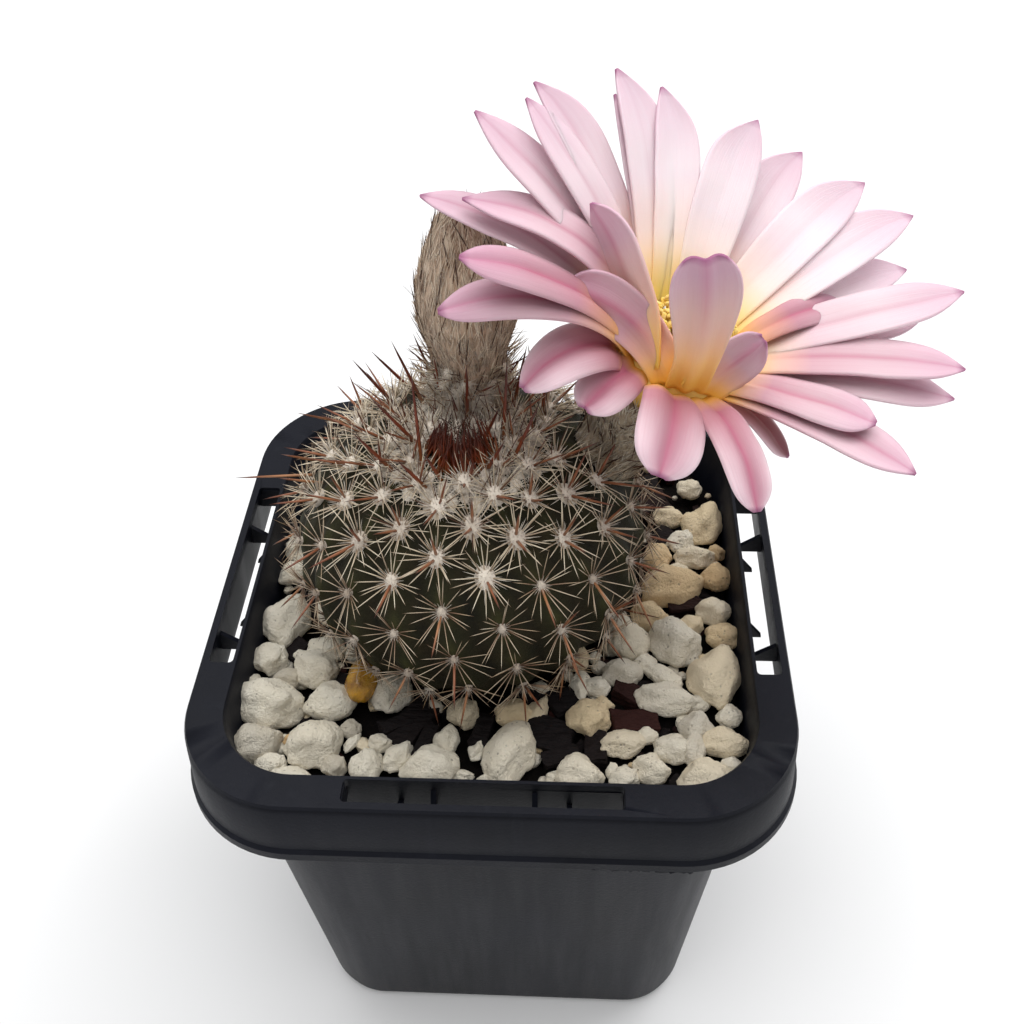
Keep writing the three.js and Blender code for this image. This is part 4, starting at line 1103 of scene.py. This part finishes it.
# More of them on the left side: root and tip
SIDE_SPINES = [((-22.5, 2.2, 80), (-33, 4.5, 77.2)), ((-16.5, 4.5, 86), (-21.6, -2, 93.1)),
               ((-20.6, 1.5, 82.8), (-24.6, -1.4, 86.4)), ((-20, -2.5, 83), (-24.4, -4.6, 85.6))]
BEARD_SPINES, CROWN_TUFTS, CROWN_HAIRS = 190, 84, 110


def on_crown(x, y, lift=0.0):
    far = min(1.0, from_plant(x, y) / GLOBE_RADIUS)
    height = GLOBE.z + GLOBE_RISE * math.sqrt(1 - far * far) + lift
    slope = Vector(((x - GLOBE.x) / GLOBE_RADIUS ** 2, (y - GLOBE.y) / GLOBE_RADIUS ** 2,
                    (height - lift - GLOBE.z) / GLOBE_RISE ** 2)).normalized()
    return standing(Vector((x, y, height)), slope, Vector((0, 1, 0)))


def reaching(root, tip, thick):
    """Where a spine goes that stands on root and ends at tip."""
    way = tip - root
    stand = standing(root, way.normalized(), Vector((0, 1, 0)))
    return stand @ sized(thick, thick, way.length)


def crown(draw, thin, stout, tufts):
    """A half ring of dark red spines that close over the middle, wool, and long spines round it."""
    red, wool, dark = [], [], []
    middle_x, middle_y = CROWN_SPOT
    for _ in range(BEARD_SPINES):
        part = draw.random()
        turn = draw.uniform(-95, 95)
        radius = 1.5 + 3.1 * math.sqrt(part)
        x = middle_x + 0.9 * radius * math.sin(math.radians(turn))
        y = middle_y - radius * math.cos(math.radians(turn))
        lean = 10 + 30 * part + draw.uniform(-10, 10)
        turn += draw.uniform(-30, 30)
        where = on_crown(x, y, -0.2) @ leaning(turn, lean, 0, 0.12, draw.uniform(2.8, 5.6))
        red.append((stout, where, {"tint": draw.random()}))
    for x, y, *tip in CROWN_SPINES:
        root = on_crown(x, y).translation
        red.append((stout, reaching(root, Vector(tip), 0.24), {"tint": draw.uniform(0, 0.6)}))
    for index in range(CROWN_TUFTS):
        radius, turn = 9.0 * math.sqrt((index + 0.5) / CROWN_TUFTS), index * math.radians(GOLDEN_TURN)
        x, y = middle_x + radius * math.cos(turn), middle_y + 1.2 + radius * math.sin(turn)
        in_beard = 1.2 < math.hypot(x - middle_x, y - middle_y) < 4.2 and y < middle_y + 0.5
        where = on_crown(x, y, -0.3) @ Matrix.Scale(0.45 if in_beard else 0.95, 4)
        wool.append((draw.choice(tufts), where, {"tint": draw.uniform(0.6, 1)}))
    for _ in range(CROWN_HAIRS):
        radius, turn = draw.uniform(0, 8), draw.uniform(0, FULL_TURN)
        x, y = middle_x + radius * math.cos(turn), middle_y + 1 + radius * math.sin(turn)
        turn, lean = draw.uniform(0, 360), draw.uniform(5, 55)
        where = on_crown(x, y) @ leaning(turn, lean, 0, 0.06, draw.uniform(2.4, 4.6))
        dark.append((thin, where, {"tint": draw.random()}))
    collar = hairs_on(BUD, tufts[0], 34, (0.85, 0.7, 1.0, 50, 85), draw, (0.0, 0.2))
    collar += hairs_on(BUD, tufts[1], 30, (0.7, 0.6, 0.9, 50, 85), draw, (0.0, 0.26))
    wool += [(tuft, where, {"tint": 0.55 + 0.45 * marks["tint"]}) for tuft, where, marks in collar]
    dark += hairs_on(BUD, thin, 60, (0.06, 2.5, 4.5, 20, 65), draw, (0.0, 0.26))
    red += hairs_on(BUD, stout, 16, (0.13, 3.5, 6.5, 15, 50), draw, (0.02, 0.22))
    straw = hairs_on(BUD, thin, 190, (0.075, 2.6, 4.6, 15, 70), draw, (0.0, 0.27))
    return red, wool, dark, straw


# Bud and flower tube: woolly stalks along a line, with radii as (part of the length, radius)
FLOWER = Vector((20.4, -1.4, 102))
FLOWER_AXIS = Vector((0.38, -0.18, 0.9)).normalized()
BUD_TOP = Vector((-2.6, 5.4, 115.2))
BUD_PROFILE = [
    (0, 4.4), (0.12, 4.1), (0.28, 4.2), (0.38, 5), (0.48, 5.6), (0.6, 5.5), (0.72, 4.8), (0.82, 3.9),
    (0.9, 3), (0.96, 2), (1, 0.8),
]
TUBE_PROFILE = [(0, 4.3), (0.2, 4.2), (0.5, 4.9), (0.75, 6), (1, 6.9)]
CUP_DEPTH = 4
STALK_SIDES = 28
# Colours of the matted wool, from between the locks to their crests
BUD_WOOL = [(0.3, "#87664f"), (0.45, "#cbac90"), (0.6, "#e6ccb1"), (0.75, "#f5e6d0")]
TUBE_WOOL = [(0.3, "#7a6247"), (0.45, "#b29c80"), (0.6, "#cfbd9f"), (0.75, "#e4d8c2")]


def stalk_line(angle, azimuth, reach, end, before_end):
    foot = globe_point(angle, azimuth, -1)
    return [foot, foot + globe_normal(angle, azimuth) * reach, end + before_end, end]


BUD = (stalk_line(BUD_ANGLE, BUD_AZIMUTH, 9, BUD_TOP, Vector((0, 0, -9))), BUD_PROFILE)
TUBE_TOP = FLOWER - FLOWER_AXIS * (CUP_DEPTH + 0.1)
TUBE = (stalk_line(TUBE_ANGLE, TUBE_AZIMUTH, 6, TUBE_TOP, FLOWER_AXIS * -6), TUBE_PROFILE)


def on_line(line, part):
    """Centre and direction at a part of the line's length."""
    a, b, c, d = line
    t, s = part, 1 - part
    centre = a * s ** 3 + b * 3 * s * s * t + c * 3 * s * t * t + d * t ** 3
    along = (b - a) * s * s + (c - b) * 2 * s * t + (d - c) * t * t
    return centre, along.normalized()


def radius_at(profile, part):
    for (low, first), (high, second) in zip(profile, profile[1:]):
        if part <= high:
            return first + (second - first) * (part - low) / (high - low)
    return profile[-1][1]


def stalk(name, line, profile, stations):
    loops = []
    for index in range(stations + 1):
        centre, along = on_line(line, index / stations)
        bpy.ops.mesh.primitive_circle_add(vertices=STALK_SIDES, radius=radius_at(profile, index / stations))
        bpy.context.object.data.transform(standing(centre, along, Vector((1, 0, 0))))
        loops.append(bpy.context.object)
    made = skin(name, loops, STALK_SIDES)
    soften(made)
    lumps(made, 1.6, 0.5)
    smooth(made)
    return made


def hairs_on(woolly, shape, count, form, draw, span=(0.03, 0.98), at_end=0.35):
    """Hairs combed up a stalk, with their thickness, shortest and longest, and two leans off the skin.

    At the stalk's end they are at_end of their length.
    """
    line, profile = woolly
    thick, shortest, longest, flat, steep = form
    places = []
    for index in range(count):
        part = span[0] + (span[1] - span[0]) * (index + draw.random()) / count
        turn = math.radians(index * GOLDEN_TURN + draw.uniform(-20, 20))
        ends = []
        for station in (part, min(1.0, part + 0.05)):
            centre, along = on_line(line, station)
            first = (Vector((1, 0, 0)) - along * along.x).normalized()
            normal = first * math.cos(turn) + along.cross(first) * math.sin(turn)
            ends.append(centre + normal * (radius_at(profile, station) - 0.12))
            if station == part:
                facing = normal
        up = (ends[1] - ends[0]).normalized()
        facing = (facing - up * facing.dot(up)).normalized()
        length = draw.uniform(shortest, longest) * min(1.0, at_end + 4 * (1 - part))
        tilt = 90 - draw.uniform(flat, steep)
        where = standing(ends[0], facing, up) @ leaning(draw.gauss(0, 13), tilt, 0, thick, length)
        places.append((shape, where, {"tint": draw.random()}))
    return places


def make_stalks():
    draw = random.Random(8)
    hair, bristle = spine_shape(3, -18, FIBRE_TAPER), spine_shape(4, 10)
    bud = stalk("bud", *BUD, 20)
    settle(bud, "bud_body", stalk_finish("bud wool", BUD_WOOL), "bud_wool", "bud")
    tube = stalk("tube", *TUBE, 12)
    settle(tube, "tube_body", stalk_finish("tube wool", TUBE_WOOL), "tube_wool", "flower_tube")
    locks = hairs_on(BUD, hair, 2600, (0.07, 1.6, 3.2, 0.5, 6), draw)
    fuzz = hairs_on(BUD, hair, 500, (0.035, 0.8, 1.8, 6, 40), draw)
    tube_locks = hairs_on(TUBE, hair, 1500, (0.07, 1.4, 3.0, 1, 12), draw)
    tube_locks += hairs_on(TUBE, hair, 420, (0.07, 2.2, 3.6, 0, 5), draw, (0.86, 0.99), 1.0)
    dark = hairs_on(BUD, bristle, 130, (0.07, 3.4, 5.6, 0.5, 6), draw)
    stray = hairs_on(BUD, bristle, 34, (0.04, 1.6, 3.4, 12, 55), draw)
    tube_dark = hairs_on(TUBE, bristle, 120, (0.08, 3.0, 5.0, 4, 30), draw, at_end=0.8)
    bract = flower_frame(226) @ moved(0, 6.8, -2.2) @ turned(-100, "X") @ sized(0.2, 0.2, 5.6)
    tube_dark.append((bristle, bract, {"tint": 1.0}))
    bud_locks = wool_finish("bud locks", "#ac8c70", "#f5e2c8")
    settle(scatter("locks", locks + fuzz), "bud_wool", bud_locks, "bud_wool")
    pale_locks = wool_finish("tube locks", "#a48d6f", "#e6dac3")
    settle(scatter("tube locks", tube_locks), "tube_wool", pale_locks, "tube_wool")
    brown = spine_finish("dark bristles", *BRISTLE)
    settle(scatter("bud bristles", dark + stray), "bud_bristles", brown, "bud_wool")
    settle(scatter("tube bristles", tube_dark), "tube_bristles", brown, "tube_wool")
    drop(hair, bristle)


# Petals: azimuth on the ring, lean at the root and at the tip, sideways swing, length, width,
# layer from the inside out, shape, paleness (partly the petal's own tint and partly painted light:
# raised on petals in shade, lowered on brightly lit ones), how far the gold reaches, and brownness
PETAL_RING, PETAL_THICKNESS = 5.7, 0.28
PETALS = [
    (174, 46, 119, -12, 27, 5.2, 1, "blade", 0.5, 0.4, 0),
    (165, 31, 118, 8, 24.5, 5.4, 0, "blade", 0.4, 0.4, 0),
    (187, 48, 100, 0, 22.5, 5.2, 0, "finger", 0.1, 0.45, 0),
    (190, 40, 139, -1, 23.5, 5.4, 1, "finger", 0.25, 0.45, 0),
    (158, 48, 82, 0, 27, 6.2, 0, "blade", 0.6, 0.45, 0), (149, 42, 76, 0, 25, 5.6, 0, "blade", 0.7, 0.5, 0),
    (144, 42, 73, 0, 26, 6.2, 1, "left", 0.7, 0.5, 0), (123, 43, 66, 0, 22.5, 5.2, 1, "left", 0.8, 0.5, 0),
    (124, 43, 63, 0, 24.5, 6, 0, "left", 0.9, 0.55, 0), (112, 43, 59, 0, 22.5, 5.6, 0, "left", 1, 0.6, 0),
    (85, 57, 89, 0, 18.5, 4.6, 2, "blade", 0.15, 0.2, 0.4), (83, 42, 56, 0, 21.5, 6.2, 0, "right", 1, 0.5, 0),
    (67, 45, 62, 0, 22, 6, 1, "right", 0.8, 0.5, 0), (49, 45, 63, 0, 23, 6, 0, "right", 0.9, 0.5, 0),
    (35, 47, 63, 0, 24.5, 6, 0, "right", 0.85, 0.5, 0), (27, 51, 69, 0, 22.5, 5.4, 2, "right", 0.95, 0.4, 0),
    (12, 48, 64, 0, 25, 5.6, 0, "blade", 0.65, 0.35, 0), (15, 53, 70, 0, 22.5, 5.4, 2, "blade", 0.6, 0.3, 0),
    (356, 47, 79, -2, 24, 5.4, 0, "blade", 0.4, 0.35, 0),
    (352, 54, 83, 0, 23.5, 5.6, 1, "blade", 0.5, 0.3, 0), (328, 56, 87, 0, 21.5, 6, 1, "blade", 0.35, 0.3, 0),
    (332, 51, 79, 0, 16, 6, 0, "finger", 0.35, 0.3, 0),
    (330, 77, 119, 0, 10, 3.4, 2, "finger", 0.1, 0.05, 0.9),
    (294, 58, 124, 0, 14.5, 5.6, 1, "tongue", 0.1, 0.2, 0),
    (260, 53, 123, 0, 12.5, 7.2, 1, "tongue", 0.1, 0.2, 0),
    (215, 85, 135, 20, 8, 5.6, 1, "tongue", 0, 0.2, 0),
    (192, 42, 165, 28, 14.5, 6.6, 2, "tongue", 0.1, 0.2, 0),
    (222, 6, 10, -80, 17.5, 6.4, 0, "blade", 0.4, 0.75, 0),
    (253, -12, -30, -106, 15.5, 5.4, 0, "finger", 0.2, 0.5, 0),
    (270, 8, -8, -31, 18.5, 6.6, 0, "spoon", 0.35, 0.9, 0),
    (286, -11, -11, 43, 8.5, 7.2, 0, "tongue", 0.3, 0.6, 0),
    (12, 20, 110, 20, 15.5, 3.8, 0, "finger", 0.05, 0.5, 0),
]
PETAL_ROWS, PETAL_COLUMNS = 14, 8
# Width at each row, how far the body bulges to one side of the line to the tip, and how far each
# column from the middle lies back
BLADE = (0.6, 0.66, 0.72, 0.78, 0.84, 0.89, 0.94, 0.97, 0.99, 1.0, 0.99, 0.94, 0.8, 0.5, 0.03)
PETAL_SHAPES = {
    "blade": (BLADE, 0.0, (0.04, 0.02, 0.0, -0.01, 0.01)),
    "left": (BLADE, 0.6, (0.03, 0.01, 0.0, -0.03, -0.05)),
    "right": (BLADE, -0.4, (0.03, 0.01, 0.0, -0.03, -0.05)),
    "finger": ((0.66, 0.7, 0.74, 0.78, 0.82, 0.86, 0.9, 0.94, 0.98, 1.0, 1.0, 0.97, 0.89, 0.68, 0.14), 0.0,
               (0.08, 0.01, -0.03, 0.0, 0.08)),
    "tongue": ((0.78, 0.82, 0.86, 0.9, 0.93, 0.96, 0.98, 1.0, 1.0, 0.99, 0.97, 0.92, 0.83, 0.64, 0.2), 0.0,
               (0.07, 0.0, -0.04, -0.01, 0.08)),
    "spoon": ((0.62, 0.62, 0.63, 0.65, 0.68, 0.72, 0.77, 0.83, 0.89, 0.95, 0.99, 1.0, 0.96, 0.84, 0.56), 0.0,
              (0.16, 0.05, -0.03, 0.0, 0.08)),
}
# Rings of the flower's cup and of its style: radius and height
CUP_RINGS = ((5.8, -6), (6.5, -4.4), (6.6, -1.9), (5.9, -0.4), (5, -0.2), (4.6, -2), (2, -2.4))
STYLE_RINGS = ((0.8, -1.6), (0.6, 2), (0.7, 5.4), (0.9, 6.4), (0.5, 6.8))
STAMENS, STYLE_LOBES = 260, 8


def petal_shape(widths, bulge, lies_back):
    """A petal a unit long and a unit wide, standing up, its inner face to the front."""
    bpy.ops.mesh.primitive_grid_add(
        x_subdivisions=PETAL_COLUMNS, y_subdivisions=PETAL_ROWS, size=1, calc_uvs=True)
    petal = bpy.context.object
    petal.data.transform(moved(0, 0, 0.5) @ turned(90, "X"))
    rows, columns = {}, {}
    for vertex in petal.data.vertices:
        rows.setdefault(round(vertex.co.z * PETAL_ROWS), set()).add(vertex.index)
        columns.setdefault(abs(round(vertex.co.x * PETAL_COLUMNS)), set()).add(vertex.index)
    for column, depth in enumerate(lies_back):
        pick(petal, columns[column])
        bpy.ops.transform.translate(value=(0, depth, 0))
        leave()
    for row, width in enumerate(widths):
        pick(petal, rows[row])
        bpy.ops.transform.resize(value=(width, width, 1), center_override=(0, 0, row / PETAL_ROWS))
        if bulge:
            aside = width - widths[0] * (1 - row / PETAL_ROWS)
            bpy.ops.transform.translate(value=(bulge * aside / 2, 0, 0))
        leave()
    return petal


def flower_frame(azimuth):
    """A frame on the flower's axis: Z along it and Y outward at the azimuth."""
    across = (Vector((1, 0, 0)) - FLOWER_AXIS * FLOWER_AXIS.x).normalized()
    turn = math.radians(azimuth)
    out = across * math.cos(turn) + FLOWER_AXIS.cross(across) * math.sin(turn)
    facing = Matrix((out.cross(FLOWER_AXIS), out, FLOWER_AXIS)).transposed()
    return Matrix.Translation(FLOWER) @ facing.to_4x4()


def grow_petal(shape, azimuth, lean_start, lean_end, swing, length, width, layer, pale, gold, brown):
    petal = shape.copy()
    petal.data = shape.data.copy()
    bpy.context.collection.objects.link(petal)
    petal.data.transform(sized(width, width, length))
    if swing:
        bend(petal, "Y", -0.6 * swing)
        petal.data.transform(turned(-0.4 * swing, "Y"))
    bend(petal, "X", lean_end - lean_start)
    root = moved(0, PETAL_RING + 0.3 * layer, -0.8 * layer)
    petal.data.transform(flower_frame(azimuth) @ root @ turned(-lean_start, "X"))
    for name, value in (("pale", pale), ("gold", gold), ("brown", brown)):
        mark(petal, name, lambda spot, value=value: value)
    return petal


def make_petals():
    shapes = {name: petal_shape(*rows) for name, rows in PETAL_SHAPES.items()}
    petals = join("petals", [grow_petal(shapes[row[7]], *row[:7], *row[8:]) for row in PETALS])
    lumps(petals, 6, 0.8)
    soften(petals)
    modify(petals, "SOLIDIFY", thickness=PETAL_THICKNESS, offset=0)
    smooth(petals)
    drop(*shapes.values())
    settle(petals, "flower_petals", petal_finish(), "petal", "petals")


def make_cup():
    """The golden throat that the petals stand on."""
    cup = skin("cup", rings(CUP_RINGS, 32), 32)
    cup.data.transform(flower_frame(0))
    soften(cup)
    smooth(cup)
    settle(cup, "flower_throat", plain_finish("throat", "#f0b84a", "#fbd877", 0.5, 300), "petal")


def make_stamens(thread):
    """Stamens packed round the style."""
    draw = random.Random(4)
    bpy.ops.mesh.primitive_ico_sphere_add(subdivisions=2, radius=1)
    anther = bpy.context.object
    anther.data.transform(sized(0.25, 0.21, 0.46))
    lumps(anther, 0.3, 0.08)
    smooth(anther)
    heads, threads = [], []
    for index in range(STAMENS):
        part = math.sqrt((index + 12) / (STAMENS + 12))
        lean = 15 * part + draw.uniform(-4, 4)
        length = 5.2 + 1.5 * (1 - part) + draw.uniform(-0.5, 0.5)
        side = turned(index * GOLDEN_TURN, "Z")
        aim = flower_frame(0) @ side @ moved(0, 3.1 * part, -1.9) @ turned(-lean, "X")
        threads.append((thread, aim @ sized(0.1, 0.1, length), {"tint": 0.5}))
        nod = Matrix.Rotation(draw.uniform(0, FULL_TURN), 4, "Z") @ turned(draw.uniform(30, 90), "X")
        heads.append((anther, aim @ moved(0, 0.05 * length, length) @ nod, {}))
    pollen = plain_finish("pollen", "#f0cb4a", "#ffeb9c", 0.8, 1500)
    settle(scatter("stamens", heads + threads), "flower_stamens", pollen, "stamen", "stamens")
    drop(anther)


def make_style(thread):
    place = flower_frame(0)
    stem = skin("stem", rings(STYLE_RINGS, 16), 16)
    stem.data.transform(place)
    soften(stem)
    smooth(stem)
    top = place @ moved(0, 0, 6)
    turns = [lobe * 360 / STYLE_LOBES for lobe in range(STYLE_LOBES)]
    lobes = [(thread, top @ leaning(turn, 48, 0.2, 0.3, 2.4), {}) for turn in turns]
    style = join("style", [stem, scatter("lobes", lobes)])
    flesh = plain_finish("style", "#a84a55", "#c77a72", 0.45, 900)
    settle(style, "flower_style", flesh, "style_flesh", "style")


def make_heart():
    thread = spine_shape(4, 8)
    make_stamens(thread)
    make_style(thread)
    drop(thread)


# Studio: a white sheet, an even sky and two lamps, each with its place, size and power
SHEET_TONES = (0.79, 0.795, 0.8, 1), (0.82, 0.82, 0.825, 1)
SKY_STRENGTH = 0.46
LAMPS = (("ceiling light", (0.0, 0.08, 1.3), 1.6, 21.0), ("window light", (0.5, 0.3, 0.7), 0.4, 1.6))
AIM = Vector((0, 0, 0.07))


def make_studio():
    bpy.ops.mesh.primitive_plane_add(size=6, location=(0, 0, 0))
    floor = bpy.context.object
    floor.name = "studio_floor"
    made, tree, shader = finish("white sheet", Roughness=0.9)
    patches, _ = mottle(tree, here(tree), 8, 200)
    feed(tree, shader, Base_Color=mix(tree, patches, *SHEET_TONES))
    floor.data.materials.append(made)
    world = bpy.data.worlds.new("soft light")
    world.use_nodes = True
    sky = world.node_tree.nodes["Background"]
    sky.inputs["Color"].default_value = (1, 1, 1, 1)
    sky.inputs["Strength"].default_value = SKY_STRENGTH
    bpy.context.scene.world = world
    for name, place, size, power in LAMPS:
        bpy.ops.object.light_add(type="AREA", location=place)
        lamp = bpy.context.object
        lamp.name = name
        lamp.data.size = size
        lamp.data.energy = power
        lamp.rotation_euler = (AIM - Vector(place)).to_track_quat("-Z", "Y").to_euler()
    bpy.context.scene.view_settings.view_transform = "Standard"


bpy.ops.object.select_all(action="DESELECT")
place_camera()
make_pot()
make_soil()
make_bark()
make_pumice()
make_prill()
make_body()
make_spines()
make_stalks()
make_petals()
make_cup()
make_heart()
make_studio()
